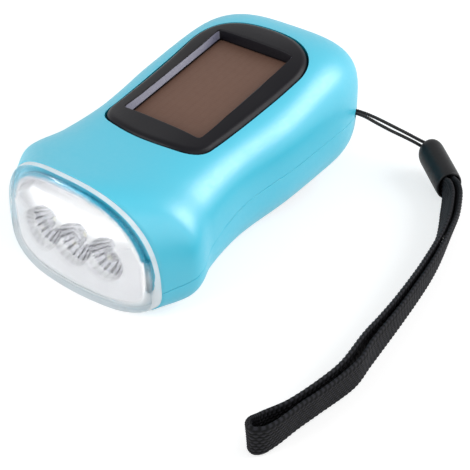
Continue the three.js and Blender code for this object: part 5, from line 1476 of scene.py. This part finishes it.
# Stage: a pale floor that stays white to the camera but keeps a soft shadow
FLOOR_SIZE = 3.0
FLOOR_Z = -0.0002
FLOOR_GLOW = 0.62
SKY_LEVEL = 0.43
LIGHT_DISTANCE = 0.7


def backdrop_rays(tree):
    """One for the rays that show the backdrop: seen, mirrored and through something clear."""
    path = tree.nodes.new("ShaderNodeLightPath")
    seen = path.outputs["Is Camera Ray"]
    for name in ("Is Glossy Ray", "Is Transmission Ray"):
        either = tree.nodes.new("ShaderNodeMath")
        either.operation = "MAXIMUM"
        tree.links.new(seen, either.inputs[0])
        tree.links.new(path.outputs[name], either.inputs[1])
        seen = either.outputs[0]
    return seen


def make_floor():
    half = FLOOR_SIZE / 2
    corners = [(x * half, y * half, FLOOR_Z) for x, y in ((-1, -1), (1, -1), (1, 1), (-1, 1))]
    mesh = bpy.data.meshes.new("floor")
    mesh.from_pydata(corners, [], [(0, 1, 2, 3)])
    floor = bpy.data.objects.new("floor", mesh)
    scene.collection.objects.link(floor)
    paint = Paint("floor_white", "#c6c6c6", 0.9, Specular_IOR_Level=0.1).mottle("#c3c3c3", 4)
    glow = paint.node("ShaderNodeMapRange")
    glow.inputs["To Max"].default_value = FLOOR_GLOW
    paint.shader.inputs["Emission Color"].default_value = (1, 1, 1, 1)
    paint.link(backdrop_rays(paint.tree), glow.inputs["Value"])
    paint.link(glow.outputs["Result"], paint.shader.inputs["Emission Strength"])
    mesh.materials.append(paint.material)


# Azimuth from the lamp end towards +X, elevation, size and radiance
LIGHTS = {
    "key": (130.0, 28.0, 0.47, 4.7),
    "front": (-28.0, 24.0, 0.5, 3.5),
    "fill": (62.0, 15.0, 0.8, 0.8),
}


def make_light(name, azimuth, elevation, size, radiance):
    """A square soft box aimed at the part, as bright as its radiance from any distance."""
    away = direction(azimuth, elevation)
    data = bpy.data.lights.new(name, "AREA")
    data.size = size
    data.energy = radiance * math.pi * size * size
    light = bpy.data.objects.new(name, data)
    scene.collection.objects.link(light)
    light.location = away * LIGHT_DISTANCE
    light.rotation_euler = away.to_track_quat("Z", "Y").to_euler()


def make_world():
    world = bpy.data.worlds.new("world")
    scene.world = world
    world.use_nodes = True
    tree = world.node_tree
    background = tree.nodes["Background"]
    background.inputs["Color"].default_value = (1, 1, 1, 1)
    level = tree.nodes.new("ShaderNodeMapRange")
    level.inputs["To Min"].default_value = SKY_LEVEL
    level.inputs["To Max"].default_value = 1.0
    tree.links.new(backdrop_rays(tree), level.inputs["Value"])
    tree.links.new(level.outputs["Result"], background.inputs["Strength"])


scene.view_settings.view_transform = "Standard"
make_floor()
make_world()
for light_name, numbers in LIGHTS.items():
    make_light(light_name, *numbers)
